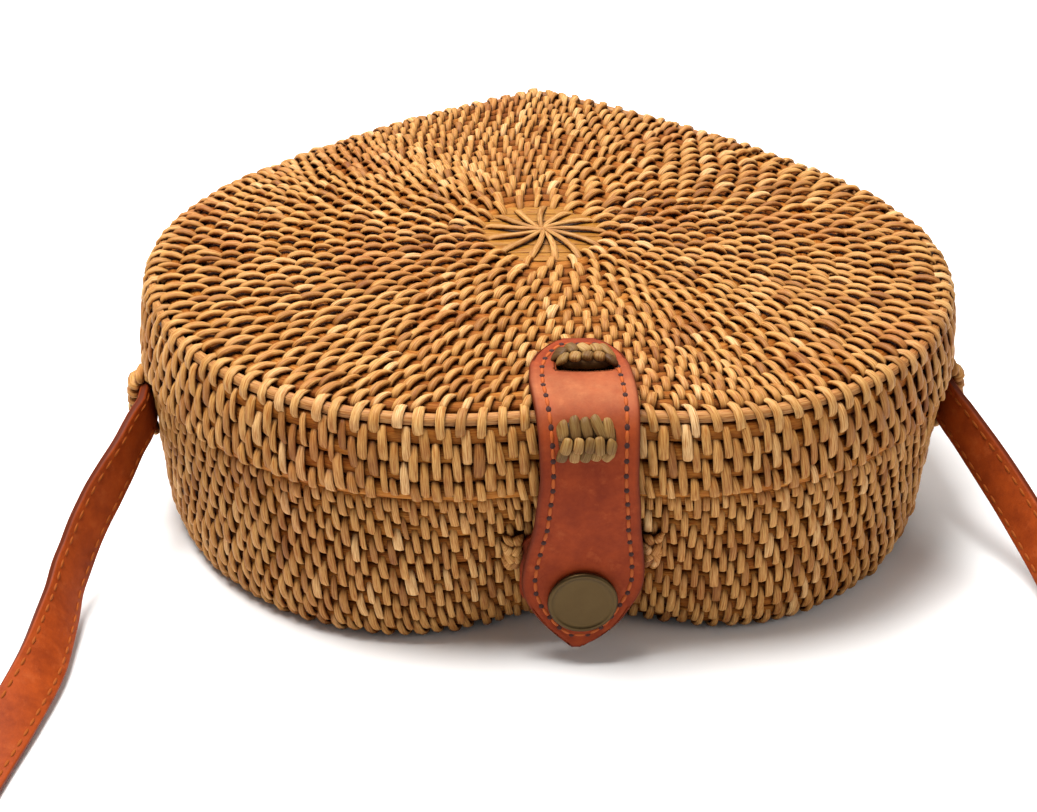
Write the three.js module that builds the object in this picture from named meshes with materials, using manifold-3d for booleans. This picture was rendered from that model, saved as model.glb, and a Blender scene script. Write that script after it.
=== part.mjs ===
// Heart-shaped coiled rattan bag lying on its base with the lid closed: millimetres, Z up.
// The origin is on the underside of the base. The two lobes and the closure flap face -Y.
// The tip of the heart and the lid hinge are at +Y.

import * as THREE from 'three';
import Module from 'manifold-3d';
import { mergeVertices } from 'three/addons/utils/BufferGeometryUtils.js';

const wasm = await Module();
wasm.setup();
const { Manifold, Mesh: ManifoldMesh } = wasm;

// Heart outline
const heartLength = 195.3;
const leftHalfWidth = 109.1;
const rightHalfWidth = 100.9;
const lobeRadius = 78.6;
const sideRadius = 292.9;
const tipRadius = 4.7;
const notchRadius = 200;
const leastTipRadius = 0.8;

// Heights of the two halves
const bagHeight = 70.4;
const seamHeight = 47.4;
const lidGap = 0.3;
const shoulderHeight = seamHeight - lidGap;
const lipTop = 57;
const floorThickness = 4.2;
const lidThickness = 3.9;
const domeRise = 1.2;

// Hub of the lid's coil
const hubX = -4.4;
const hubY = -1;

// Dent of the notch between the lobes: deeper at the floor than at the rim
const notchDentTop = 0.4;
const notchDentDepth = 11.2;
const notchDentWidth = 33.4;

// Base wall: inset of its foot, its thickness, the lip that the lid closes over and the floor
const footInset = 7.1;
const lipInset = 3;
const lipThickness = 3;
const lipRound = 0.6;
const floorInset = 11.8;

// Outer face of the base wall: height as a share of the shoulder's, inset as a share of the foot's
const outerWall = [
  { rise: 0, inset: 1 },
  { rise: 0.064, inset: 0.775 },
  { rise: 0.138, inset: 0.592 },
  { rise: 0.253, inset: 0.437 },
  { rise: 0.603, inset: 0.268 },
  { rise: 1, inset: 0 },
];

// Inner face of the base wall from the lip's foot downwards, in the same shares
const innerWall = [
  { rise: 0.87, inset: 0.845 },
  { rise: 0.603, inset: 0.831 },
  { rise: 0.253, inset: 1 },
  { rise: 0.138, inset: 1.239 },
];
const wallRow = ({ rise, inset }) => ({ z: rise * shoulderHeight, offset: -inset * footInset });
const outerRows = outerWall.map(wallRow);
const baseRows = [
  ...outerRows,
  { z: shoulderHeight, offset: -lipInset },
  { z: lipTop - lipRound, offset: -lipInset },
  { z: lipTop, offset: -lipInset - lipRound },
  { z: lipTop, offset: -lipInset - lipThickness + lipRound },
  { z: lipTop - lipRound, offset: -lipInset - lipThickness },
  ...innerWall.map(wallRow),
  { z: floorThickness, offset: -floorInset },
];

// Lid: rounding of its rim, flare and thickness of its skirt, rounding inside its ceiling
const rimInset = 4;
const rimDrop = 3.5;
const skirtFlare = 1.5;
const skirtThickness = 3.5;
const ceilingInset = 5.6;
const ceilingDrop = 2.4;

// Rim from the top outwards: inset and drop as shares of the rounding
const rimRows = [
  { inset: 1, drop: 0 },
  { inset: 0.5, drop: 0.17 },
  { inset: 0.2, drop: 0.457 },
  { inset: 0, drop: 1 },
];
const ceilingHeight = bagHeight - lidThickness;
const skirtMiddle = (bagHeight + seamHeight) / 2;
const lidRows = [
  ...rimRows.map(({ inset, drop }) => ({ z: bagHeight - drop * rimDrop, offset: -inset * rimInset })),
  { z: skirtMiddle, offset: 0.6 * skirtFlare },
  { z: seamHeight, offset: skirtFlare },
  { z: seamHeight, offset: skirtFlare - skirtThickness },
  { z: skirtMiddle, offset: 0.9 * skirtFlare - skirtThickness },
  { z: ceilingHeight - ceilingDrop, offset: 0.3 * skirtFlare - skirtThickness },
  { z: ceilingHeight, offset: -ceilingInset },
];

// Closure flap: side path of the leather's middle, as shares of the heart's half length forwards
// and of the bag's height upwards
const flapThickness = 2.4;
const flapHalfWidth = 14.8;
const heartHalfLength = heartLength / 2;
const flapPath = [
  { forward: 0.6882, rise: 1.0341 },
  { forward: 0.7783, rise: 1.0312 },
  { forward: 0.8807, rise: 1.0284 },
  { forward: 0.9462, rise: 1.0213 },
  { forward: 0.9954, rise: 0.9943 },
  { forward: 1.023, rise: 0.9375 },
  { forward: 1.0312, rise: 0.8437 },
  { forward: 1.0323, rise: 0.7301 },
  { forward: 1.0241, rise: 0.6108 },
  { forward: 1.0097, rise: 0.483 },
  { forward: 1.0036, rise: 0.3977 },
  { forward: 1.0026, rise: 0.2841 },
  { forward: 1.0026, rise: 0.1705 },
  { forward: 1.0015, rise: 0.0597 },
];

// Half widths of the flap as shares of its widest, by share of its length from the top end
const flapWidths = [
  { at: 0, left: -0.236, right: 0.169 },
  { at: 0.0126, left: -0.405, right: 0.338 },
  { at: 0.0377, left: -0.581, right: 0.514 },
  { at: 0.0786, left: -0.77, right: 0.662 },
  { at: 0.1258, left: -0.878, right: 0.743 },
  { at: 0.2096, left: -0.905, right: 0.784 },
  { at: 0.2935, left: -0.851, right: 0.797 },
  { at: 0.3774, left: -0.791, right: 0.791 },
  { at: 0.4927, left: -0.75, right: 0.804 },
  { at: 0.566, left: -0.791, right: 0.858 },
  { at: 0.6394, left: -0.824, right: 0.892 },
  { at: 0.7128, left: -0.912, right: 0.959 },
  { at: 0.7704, left: -0.973, right: 1 },
  { at: 0.8176, left: -1, right: 1 },
  { at: 0.8543, left: -0.959, right: 0.932 },
  { at: 0.891, left: -0.858, right: 0.804 },
  { at: 0.9329, left: -0.649, right: 0.581 },
  { at: 0.9696, left: -0.405, right: 0.311 },
  { at: 1, left: -0.196, right: 0.061 },
];

// Rattan lashings that stand in slots of the flap: place as a share of its length,
// sizes as shares of its widest half width
const slotGap = 0.35;
const lashings = [
  { name: 'flap_lashing_top', at: 0.1153, x: 0.02, width: 0.851, height: 0.311, crown: 0.189 },
  { name: 'flap_lashing_front', at: 0.3753, x: -0.047, width: 0.77, height: 0.405, crown: 0.162 },
];
const lashingOverhang = 0.6;

// Snap fastener
const snapX = 0;
const snapZ = 19.2;
const capRadius = 8.5;
const capThickness = 1.5;
const socketRadius = 6;
const socketDepth = 1.5;
const studRadius = 2.2;
const studLength = 1.2;
const studBaseRadius = 5;
const studBaseThickness = 0.7;
const pieceGap = 0.3;

// Leather tab behind the flap with its two side lashings
const tabHalfWidth = 14.8;
const tabBottom = 13.4;
const tabTop = 35;
const tabThickness = 1.8;
const tabCorner = 4.5;
const tabLashingWidth = 3.4;
const tabLashingHeight = 8.6;
const tabLashingDepth = 2.4;
const tabLashingZ = 30;

// Side ears: wrapped rattan hoops in front of the side walls
const earY = -30.5;
const earZ = 35.6;
const earReach = 5;
const earHalfHeight = 8.3;
const earThickness = 2.4;
const earWidth = 7;
const earSquareness = 4.5;

// Shoulder strap
const strapWidth = 12.6;
const strapThickness = 2.2;
const strapWallGap = 0.6;
const strapLean = 84;
const strapFloorGap = 0.05;
const rivetY = -17.5;
const rivetRadius = 3;
const rivetHeight = 1;
const loopRadius = 150;
const loopCentreY = -300;

// Strap tail behind each ear, along the wall: middle height and width
const strapTail = [
  { y: -30.5, z: 35.6, width: 12.6 },
  { y: -27, z: 35, width: 12.2 },
  { y: -23, z: 34, width: 11.2 },
  { y: -18, z: 32.8, width: 9.6 },
  { y: -12.8, z: 32, width: 8 },
  { y: -12, z: 32, width: 6 },
];

// Strap descent: middle of the strap and its tilt from flat
const leftDescent = [
  { x: -109.4, y: -37.5, z: 34.7, tilt: 85 },
  { x: -111.6, y: -43.2, z: 33, tilt: 84 },
  { x: -114.2, y: -50, z: 30, tilt: 82 },
  { x: -117.3, y: -55.9, z: 26.5, tilt: 78 },
  { x: -120.3, y: -60.9, z: 22.5, tilt: 75 },
  { x: -122.8, y: -66.2, z: 18.8, tilt: 72 },
  { x: -124.7, y: -71.5, z: 15.2, tilt: 70 },
  { x: -126.4, y: -77.6, z: 12.2, tilt: 66 },
  { x: -127.1, y: -84.2, z: 9.8, tilt: 60 },
  { x: -128, y: -91.7, z: 8.2, tilt: 52 },
  { x: -129.6, y: -103.8, z: 6.4, tilt: 40 },
  { x: -134, y: -121, z: 4.3, tilt: 24 },
  { x: -140, y: -143, z: 2.3, tilt: 8 },
];
const rightDescent = [
  { x: 102, y: -37.2, z: 34.4, tilt: 85 },
  { x: 104.2, y: -41, z: 32.3, tilt: 84 },
  { x: 106.8, y: -45.4, z: 29.6, tilt: 82 },
  { x: 110.4, y: -51.4, z: 25.6, tilt: 78 },
  { x: 114, y: -57.8, z: 21.4, tilt: 75 },
  { x: 117.4, y: -65, z: 17.2, tilt: 71 },
  { x: 120.4, y: -73, z: 13.6, tilt: 66 },
  { x: 122.8, y: -82, z: 10.6, tilt: 60 },
  { x: 124.8, y: -92, z: 8.4, tilt: 52 },
  { x: 127.4, y: -104, z: 6.4, tilt: 40 },
  { x: 132.4, y: -121, z: 4.3, tilt: 24 },
  { x: 139.4, y: -143, z: 2.3, tilt: 8 },
];

// Lid hinge behind the tip of the heart
const hingeStandOff = 5.95;
const hingeY = heartHalfLength + hingeStandOff;
const hingeZ = seamHeight;
const pinRadius = 1.5;
const pinHalfLength = 13;
const loopOuterRadius = 4;
const loopBoreRadius = 1.9;
const lidLoopHalfWidth = 4.2;
const baseLoopInner = 5;
const baseLoopOuter = 10;
const hingeArmHeight = 4.6;

// Finish of each material
const finishes = {
  rattan: { color: 0xb98a4e, roughness: 0.62, metalness: 0 },
  paleRattan: { color: 0xb79a62, roughness: 0.66, metalness: 0 },
  flapLeather: { color: 0x9c4a2c, roughness: 0.5, metalness: 0 },
  strapLeather: { color: 0x8a3a12, roughness: 0.48, metalness: 0 },
  brass: { color: 0x6d6038, roughness: 0.38, metalness: 1 },
};

const group = new THREE.Group();
group.name = 'rattan_heart_bag';

function add(name, geometry, finish) {
  geometry.computeVertexNormals();
  const mesh = new THREE.Mesh(geometry, new THREE.MeshStandardMaterial(finishes[finish]));
  mesh.name = name;
  group.add(mesh);
  return mesh;
}

// Centres of the arcs that make one half of the heart, in a frame centred on the lobes
function heartArcs(halfWidth) {
  const lobeX = halfWidth - lobeRadius;
  const tipY = heartLength - tipRadius - lobeRadius;
  const reach = sideRadius - lobeRadius;
  const sideMiss = (b) => {
    const x = lobeX - reach * Math.cos(b);
    const y = -reach * Math.sin(b);
    return Math.hypot(x, y - tipY) - (sideRadius - tipRadius);
  };
  let low = -0.6;
  let high = 1.3;
  const lowSign = Math.sign(sideMiss(low));
  for (let i = 0; i < 60; i += 1) {
    const middle = (low + high) / 2;
    if (Math.sign(sideMiss(middle)) === lowSign) low = middle;
    else high = middle;
  }
  const joinAngle = (low + high) / 2;
  const notchY = -Math.sqrt((lobeRadius + notchRadius) ** 2 - lobeX ** 2);
  return {
    lobeX,
    joinAngle,
    sideX: lobeX - reach * Math.cos(joinAngle),
    sideY: -reach * Math.sin(joinAngle),
    notchY,
    notchAngle: Math.atan2(notchY, -lobeX),
  };
}

const leftArcs = heartArcs(leftHalfWidth);
const rightArcs = heartArcs(rightHalfWidth);
const notchPointY = (leftArcs.notchY + rightArcs.notchY) / 2 + notchRadius;
const heartShiftY = lobeRadius - heartLength / 2;
const halfSteps = { notch: 5, lobe: 19, side: 12, tip: 4 };

// One half of the heart moved outwards by an offset, from the notch to the tip
function heartHalf(arcs, offset) {
  const points = [];
  const arc = (x, y, radius, from, to, steps) => {
    for (let i = 0; i < steps; i += 1) {
      const a = from + ((to - from) * i) / steps;
      points.push([x + radius * Math.cos(a), y + radius * Math.sin(a)]);
    }
  };
  const tip = Math.max(tipRadius + offset, leastTipRadius);
  const side = sideRadius + offset;
  const tipY = arcs.sideY + Math.sqrt((side - tip) ** 2 - arcs.sideX ** 2);
  const endAngle = Math.atan2(tipY - arcs.sideY, -arcs.sideX);
  arc(0, arcs.notchY, notchRadius - offset, Math.PI / 2, arcs.notchAngle + Math.PI, halfSteps.notch);
  arc(arcs.lobeX, 0, lobeRadius + offset, arcs.notchAngle, arcs.joinAngle, halfSteps.lobe);
  arc(arcs.sideX, arcs.sideY, side, arcs.joinAngle, endAngle, halfSteps.side);
  arc(0, tipY, tip, endAngle, Math.PI / 2, halfSteps.tip);
  points.push([0, tipY + tip]);
  const lift = notchPointY - offset - points[0][1];
  return points.map(([x, y]) => [x, y + lift * Math.exp(-((x / 20) ** 2)) * (y < 0 ? 1 : 0)]);
}

// Dent of the notch at a height, as a move towards +Y
function notchDent(x, z) {
  const low = 1 - THREE.MathUtils.clamp(z / seamHeight, 0, 1);
  return (notchDentTop + notchDentDepth * low) * Math.exp(-((x / notchDentWidth) ** 2));
}

// Closed ring of the heart, anticlockwise from the notch
function heartRing(offset, z) {
  const right = heartHalf(rightArcs, offset);
  const left = heartHalf(leftArcs, offset).map(([x, y]) => [-x, y]);
  const tip = right.length - 1;
  right[tip] = [0, (right[tip][1] + left[tip][1]) / 2];
  const loop = [...right, ...left.slice(1, tip).reverse()];
  return loop.map(([x, y]) => {
    const dent = y < 0 ? notchDent(x, z) : 0;
    return new THREE.Vector3(x, y + heartShiftY + dent, z);
  });
}

// Solid from a stack of rings with equal counts; both ends are closed by a fan round a centre
function loft(rings, firstCentre, lastCentre) {
  const count = rings[0].length;
  const positions = [];
  const indices = [];
  rings.forEach((ring) => ring.forEach((p) => positions.push(p.x, p.y, p.z)));
  for (let r = 0; r < rings.length - 1; r += 1) {
    for (let i = 0; i < count; i += 1) {
      const a = r * count + i;
      const b = r * count + ((i + 1) % count);
      indices.push(a, b, b + count, a, b + count, a + count);
    }
  }
  const mean = (ring) => ring
    .reduce((sum, p) => sum.add(p), new THREE.Vector3())
    .divideScalar(ring.length);
  const start = firstCentre || mean(rings[0]);
  const end = lastCentre || mean(rings[rings.length - 1]);
  const startIndex = positions.length / 3;
  positions.push(start.x, start.y, start.z);
  positions.push(end.x, end.y, end.z);
  const lastRow = (rings.length - 1) * count;
  for (let i = 0; i < count; i += 1) {
    const next = (i + 1) % count;
    indices.push(startIndex, next, i);
    indices.push(startIndex + 1, lastRow + i, lastRow + next);
  }
  const geometry = new THREE.BufferGeometry();
  geometry.setAttribute('position', new THREE.Float32BufferAttribute(positions, 3));
  geometry.setIndex(indices);
  return geometry;
}

function volumeOf(geometry) {
  const p = geometry.attributes.position;
  const index = geometry.index;
  let sum = 0;
  const a = new THREE.Vector3();
  const b = new THREE.Vector3();
  const c = new THREE.Vector3();
  for (let i = 0; i < index.count; i += 3) {
    a.fromBufferAttribute(p, index.getX(i));
    b.fromBufferAttribute(p, index.getX(i + 1));
    c.fromBufferAttribute(p, index.getX(i + 2));
    sum += a.dot(b.cross(c)) / 6;
  }
  return sum;
}

// Turns every face outwards
function faceOut(geometry) {
  if (volumeOf(geometry) >= 0) return geometry;
  const index = geometry.index.array;
  for (let i = 0; i < index.length; i += 3) {
    const keep = index[i + 1];
    index[i + 1] = index[i + 2];
    index[i + 2] = keep;
  }
  return geometry;
}

function toManifold(geometry) {
  const clean = geometry.clone();
  clean.deleteAttribute('normal');
  clean.deleteAttribute('uv');
  const merged = mergeVertices(clean, 1e-4);
  return new Manifold(new ManifoldMesh({
    numProp: 3,
    vertProperties: new Float32Array(merged.attributes.position.array),
    triVerts: new Uint32Array(merged.index.array),
  }));
}

function fromManifold(solid) {
  const mesh = solid.getMesh();
  const geometry = new THREE.BufferGeometry();
  geometry.setAttribute('position', new THREE.Float32BufferAttribute(mesh.vertProperties, 3));
  geometry.setIndex([...mesh.triVerts]);
  return geometry;
}

// Base basket: one shell from the underside up the wall, over the lip and down to the floor
const hub = new THREE.Vector3(hubX, hubY, 0);
const at = (z) => new THREE.Vector3(hub.x, hub.y, z);
const baseRings = baseRows.map((row) => heartRing(row.offset, row.z));
add('base_basket', faceOut(loft(baseRings, at(0), at(floorThickness))), 'rattan');

// Lid basket: domed top, rounded rim and skirt
const rimRing = heartRing(lidRows[0].offset, lidRows[0].z);
const domeRing = rimRing.map((p) => {
  const q = p.clone().sub(at(bagHeight)).multiplyScalar(0.55).add(at(bagHeight));
  q.z = bagHeight + 0.75 * domeRise;
  return q;
});
const lidRings = [domeRing, ...lidRows.map((row) => heartRing(row.offset, row.z))];
const ceilingCentre = at(ceilingHeight + 0.6 * domeRise);
add('lid_basket', faceOut(loft(lidRings, at(bagHeight + domeRise), ceilingCentre)), 'rattan');

// Closure flap, swept along its side path
function linear(rows, key, value, field) {
  let i = 0;
  while (i < rows.length - 2 && rows[i + 1][key] < value) i += 1;
  const a = rows[i];
  const b = rows[i + 1];
  const t = (value - a[key]) / (b[key] - a[key]);
  return a[field] + (b[field] - a[field]) * t;
}

const flapCurve = new THREE.CatmullRomCurve3(
  flapPath.map((p) => new THREE.Vector3(0, -p.forward * heartHalfLength, p.rise * bagHeight)),
  false,
  'centripetal',
);
const flapLength = flapCurve.getLength();

function flapFrame(distance) {
  const u = THREE.MathUtils.clamp(distance / flapLength, 0, 1);
  const point = flapCurve.getPointAt(u);
  const tangent = flapCurve.getTangentAt(u);
  const normal = new THREE.Vector3(0, tangent.z, -tangent.y);
  return { point, tangent, normal };
}

const flapEndGap = 0.1;
const flapStations = [];
for (let d = 0; d < flapLength; d += 2) flapStations.push(d);
flapWidths.forEach((row) => flapStations.push(row.at * (flapLength - flapEndGap)));
const flapAt = [...new Set(flapStations.map((d) => Math.round(d * 10) / 10))]
  .sort((a, b) => a - b)
  .filter((d, i, all) => i === 0 || d - all[i - 1] > 0.5);
const flapHalf = flapThickness / 2;
const flapRings = flapAt.map((d) => {
  const { point, normal } = flapFrame(d);
  const left = linear(flapWidths, 'at', d / flapLength, 'left') * flapHalfWidth;
  const right = linear(flapWidths, 'at', d / flapLength, 'right') * flapHalfWidth;
  const corners = [
    [left + 0.5, 1],
    [right - 0.5, 1],
    [right, 0.55],
    [right, -0.55],
    [right - 0.5, -1],
    [left + 0.5, -1],
    [left, -0.55],
    [left, 0.55],
  ];
  return corners.map(([x, t]) => new THREE.Vector3(x, 0, 0)
    .add(point)
    .addScaledVector(normal, t * flapHalf));
});
let flapSolid = toManifold(faceOut(loft(flapRings)));

// Stack of rounded rectangles standing on a plane: rows of distance and size
function block(origin, across, along, normal, rows) {
  const rings = rows.map(({ out, width, height }) => {
    const chamfer = Math.min(width, height) * 0.28;
    const a = width / 2;
    const b = height / 2;
    const corners = [
      [a - chamfer, -b],
      [a, -b + chamfer],
      [a, b - chamfer],
      [a - chamfer, b],
      [-a + chamfer, b],
      [-a, b - chamfer],
      [-a, -b + chamfer],
      [-a + chamfer, -b],
    ];
    return corners.map(([x, y]) => origin.clone()
      .addScaledVector(across, x)
      .addScaledVector(along, y)
      .addScaledVector(normal, out));
  });
  return faceOut(loft(rings));
}

const acrossX = new THREE.Vector3(1, 0, 0);
const slotDepth = 6;
lashings.forEach((row) => {
  const { point, tangent, normal } = flapFrame(row.at * flapLength);
  const [x, width, height, crown] = [row.x, row.width, row.height, row.crown]
    .map((share) => share * flapHalfWidth);
  point.x = x;
  const slot = block(point, acrossX, tangent, normal, [
    { out: -slotDepth, width: width + 2 * slotGap, height: height + 2 * slotGap },
    { out: slotDepth, width: width + 2 * slotGap, height: height + 2 * slotGap },
  ]);
  flapSolid = flapSolid.subtract(toManifold(slot));
  const over = 2 * (lashingOverhang + slotGap);
  const lip = flapHalf + pieceGap;
  const body = block(point, acrossX, tangent, normal, [
    { out: -flapHalf + 0.1, width: width, height: height },
    { out: lip, width: width, height: height },
    { out: lip + 0.1, width: width + over, height: height + over },
    { out: lip + crown * 0.5, width: width + over, height: height + over },
    { out: lip + crown, width: width - 1.6, height: height - 1.6 },
  ]);
  add(row.name, body, 'paleRattan');
});
add('closure_flap', fromManifold(flapSolid), 'flapLeather');

// Round piece with its axis along Y, from rows of radius and distance forwards of a plane
function turned(rows, x, y, z) {
  const profile = rows.map(([radius, out]) => new THREE.Vector2(radius, out));
  const geometry = mergeVertices(new THREE.LatheGeometry(profile, 32), 1e-4);
  geometry.scale(1, -1, 1);
  geometry.translate(x, y, z);
  return faceOut(toWelded(geometry));
}

function toWelded(geometry) {
  const clean = geometry.clone();
  clean.deleteAttribute('normal');
  clean.deleteAttribute('uv');
  const merged = mergeVertices(clean, 1e-4);
  const kept = [];
  const index = merged.index.array;
  for (let i = 0; i < index.length; i += 3) {
    const [a, b, c] = [index[i], index[i + 1], index[i + 2]];
    if (a !== b && b !== c && c !== a) kept.push(a, b, c);
  }
  merged.setIndex(kept);
  return merged;
}

// Snap fastener: cap in front of the flap, socket behind it, stud on the tab
let snapAt = 0;
for (let d = 0; d < flapLength; d += 0.25) {
  const candidate = flapFrame(d).point;
  if (d > 0.5 * flapLength && candidate.z >= snapZ) snapAt = d;
}
const flapAtSnapY = flapFrame(snapAt).point.y;
const flapFrontY = flapAtSnapY - flapHalf;
const flapBackY = flapAtSnapY + flapHalf;
const capPlaneY = flapFrontY - pieceGap;
add('snap_cap', turned([
  [0, 0],
  [capRadius - 0.5, 0],
  [capRadius, 0.4],
  [capRadius, capThickness - 0.6],
  [capRadius - 0.25, capThickness - 0.15],
  [capRadius - 0.8, capThickness],
  [capRadius - 1.3, capThickness - 0.15],
  [0, capThickness - 0.1],
], snapX, capPlaneY, snapZ), 'brass');
const socketFrontY = flapBackY + pieceGap;
const socketBackY = socketFrontY + socketDepth;
add('snap_socket', turned([
  [0, 0],
  [socketRadius, 0],
  [socketRadius, -socketDepth + 0.4],
  [socketRadius - 0.8, -socketDepth],
  [0, -socketDepth],
], snapX, socketFrontY, snapZ), 'brass');
const studTipY = socketBackY + pieceGap;
const studFootY = studTipY + studLength + studBaseThickness;
add('snap_stud', turned([
  [0, 0],
  [studBaseRadius, 0],
  [studBaseRadius, studBaseThickness],
  [studRadius, studBaseThickness],
  [studRadius, studBaseThickness + studLength],
  [0, studBaseThickness + studLength],
], snapX, studFootY, snapZ), 'brass');

// Position of the front wall at a place across and a height
function wallY(x, z, offset) {
  const ring = heartRing(offset, z);
  let best = 0;
  for (let i = 0; i < ring.length; i += 1) {
    const a = ring[i];
    const b = ring[(i + 1) % ring.length];
    const crosses = (a.x - x) * (b.x - x) <= 0 && a.x !== b.x;
    if (crosses) {
      const y = a.y + ((b.y - a.y) * (x - a.x)) / (b.x - a.x);
      best = Math.min(best, y);
    }
  }
  return best;
}

const wallOffset = (z) => linear(outerRows, 'z', z, 'offset');
// Leather tab: upright behind the snap, leaning forwards above it to clear the wall
const tabFaceY = studFootY + pieceGap;
const tabSteps = 6;
const tabLevels = 7;

function tabFrontAt(z) {
  const reach = Math.min(
    wallY(-tabHalfWidth, z, wallOffset(z)),
    wallY(tabHalfWidth, z, wallOffset(z)),
  );
  return Math.min(tabFaceY, reach - pieceGap - tabThickness);
}

const tabRings = [];
for (let i = 0; i <= tabSteps + 2; i += 1) {
  const t = THREE.MathUtils.clamp((i - 1) / tabSteps, 0, 1);
  const isEnd = i === 0 || i === tabSteps + 2;
  const inset = isEnd ? tabCorner : 0;
  const inner = tabHalfWidth - tabCorner;
  const x = isEnd ? Math.sign(i - 1) * tabHalfWidth : -inner + 2 * inner * t;
  const front = [];
  const back = [];
  for (let k = 0; k <= tabLevels; k += 1) {
    const z = tabBottom + inset + ((tabTop - tabBottom - 2 * inset) * k) / tabLevels;
    front.push(new THREE.Vector3(x, tabFrontAt(z), z));
    back.push(new THREE.Vector3(x, tabFrontAt(z) + tabThickness, z));
  }
  tabRings.push([...front, ...back.reverse()]);
}
add('stud_tab', faceOut(loft(tabRings)), 'flapLeather');

// Side lashings of the tab
const forward = new THREE.Vector3(0, -1, 0);
const upZ = new THREE.Vector3(0, 0, 1);

[-1, 1].forEach((side) => {
  const x = side * (tabHalfWidth + pieceGap + tabLashingWidth / 2);
  const z = tabLashingZ + tabLashingHeight / 2;
  const outer = x + (side * tabLashingWidth) / 2;
  const back = Math.min(wallY(outer, z, wallOffset(z)), wallY(x, z, wallOffset(z))) - pieceGap;
  const origin = new THREE.Vector3(x, back, tabLashingZ);
  const body = block(origin, acrossX, upZ, forward, [
    { out: 0, width: tabLashingWidth, height: tabLashingHeight },
    { out: tabLashingDepth * 0.6, width: tabLashingWidth, height: tabLashingHeight },
    { out: tabLashingDepth, width: tabLashingWidth - 1.2, height: tabLashingHeight - 1.6 },
  ]);
  add(side < 0 ? 'tab_lashing_left' : 'tab_lashing_right', body, 'paleRattan');
});

// Side wall position at a place along Y and a height, on the left or right
function wallX(side, y, z) {
  const ring = heartRing(wallOffset(THREE.MathUtils.clamp(z, 0, shoulderHeight)), z);
  let reach = 0;
  for (let i = 0; i < ring.length; i += 1) {
    const a = ring[i];
    const b = ring[(i + 1) % ring.length];
    if ((a.y - y) * (b.y - y) <= 0 && a.y !== b.y) {
      reach = Math.max(reach, side * (a.x + ((b.x - a.x) * (y - a.y)) / (b.y - a.y)));
    }
  }
  return side * reach;
}

// Side ears
function ear(name, side) {
  const rings = [];
  const steps = 20;
  const half = earThickness / 2;
  const path = [];
  for (let i = 0; i <= steps; i += 1) {
    const a = -Math.PI / 2 + (Math.PI * i) / steps;
    const power = 2 / earSquareness;
    const reach = earReach * Math.abs(Math.cos(a)) ** power;
    const z = earZ + earHalfHeight * Math.sign(Math.sin(a)) * Math.abs(Math.sin(a)) ** power;
    const wall = wallX(side, earY + earWidth / 2, z);
    const x = wall + side * (pieceGap + (i === 0 || i === steps ? 0 : reach));
    path.push(new THREE.Vector3(x, earY, z));
  }
  path.forEach((p, i) => {
    const before = path[Math.max(i - 1, 0)];
    const after = path[Math.min(i + 1, steps)];
    const tangent = after.clone().sub(before).normalize();
    if (i === 0) tangent.set(side, 0, 0);
    if (i === steps) tangent.set(-side, 0, 0);
    const normal = new THREE.Vector3(side * tangent.z, 0, -side * tangent.x);
    const corners = [
      [-earWidth / 2 + 0.7, half],
      [earWidth / 2 - 0.7, half],
      [earWidth / 2, half - 0.7],
      [earWidth / 2, -half + 0.7],
      [earWidth / 2 - 0.7, -half],
      [-earWidth / 2 + 0.7, -half],
      [-earWidth / 2, -half + 0.7],
      [-earWidth / 2, half - 0.7],
    ];
    rings.push(corners.map(([w, t]) => p.clone()
      .add(new THREE.Vector3(0, w, 0))
      .addScaledVector(normal, t)));
  });
  add(name, faceOut(loft(rings)), 'paleRattan');
}
ear('ear_left', -1);
ear('ear_right', 1);

// Shoulder strap: a tail behind each ear, down to the floor and round in front of the bag
const strapHalf = strapThickness / 2;
const strapX = (side, y, z) => wallX(side, y, z) + side * (strapWallGap + strapHalf);
const tailRows = (side) => strapTail.map((row) => ({
  x: strapX(side, row.y, row.z),
  y: row.y,
  z: row.z,
  tilt: strapLean,
  width: row.width,
})).reverse();

function smooth(rows, steps) {
  const curve = new THREE.CatmullRomCurve3(
    rows.map((p) => new THREE.Vector3(p.x, p.y, p.z)),
    false,
    'centripetal',
  );
  const spans = rows.length - 1;
  const points = [];
  for (let i = 0; i < spans * steps; i += 1) {
    const u = i / (spans * steps);
    const p = curve.getPoint(u);
    const row = Math.floor(u * spans);
    const f = u * spans - row;
    const mix = (key) => rows[row][key] + (rows[row + 1][key] - rows[row][key]) * f;
    points.push({ x: p.x, y: p.y, z: p.z, tilt: mix('tilt'), width: mix('width') });
  }
  return points;
}

const floorZ = strapHalf + strapFloorGap;
const loopEntry = [
  { x: loopRadius - 2, y: -185, z: floorZ, tilt: 0 },
  { x: loopRadius, y: -240, z: floorZ, tilt: 0 },
  { x: loopRadius, y: loopCentreY, z: floorZ, tilt: 0 },
];

function strapRun(side, descent) {
  const entry = loopEntry.map((row) => ({ ...row, x: side * row.x }));
  const ahead = [...descent, ...entry].map((row) => ({ ...row, width: strapWidth }));
  const atEar = earY - earWidth / 2;
  const leaving = {
    x: strapX(side, earY, earZ) + side * 0.2,
    y: atEar,
    z: earZ,
    tilt: strapLean,
    width: strapWidth,
  };
  return smooth([...tailRows(side), leaving, ...ahead], 3);
}

const loopArc = [];
const loopSteps = 22;
for (let i = 0; i <= loopSteps; i += 1) {
  const a = Math.PI + (Math.PI * i) / loopSteps;
  loopArc.push({
    x: loopRadius * Math.cos(a),
    y: loopCentreY + loopRadius * Math.sin(a),
    z: floorZ,
    tilt: 0,
    width: strapWidth,
  });
}
const strapPath = [
  ...strapRun(-1, leftDescent),
  ...loopArc,
  ...strapRun(1, rightDescent).reverse(),
];

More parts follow.
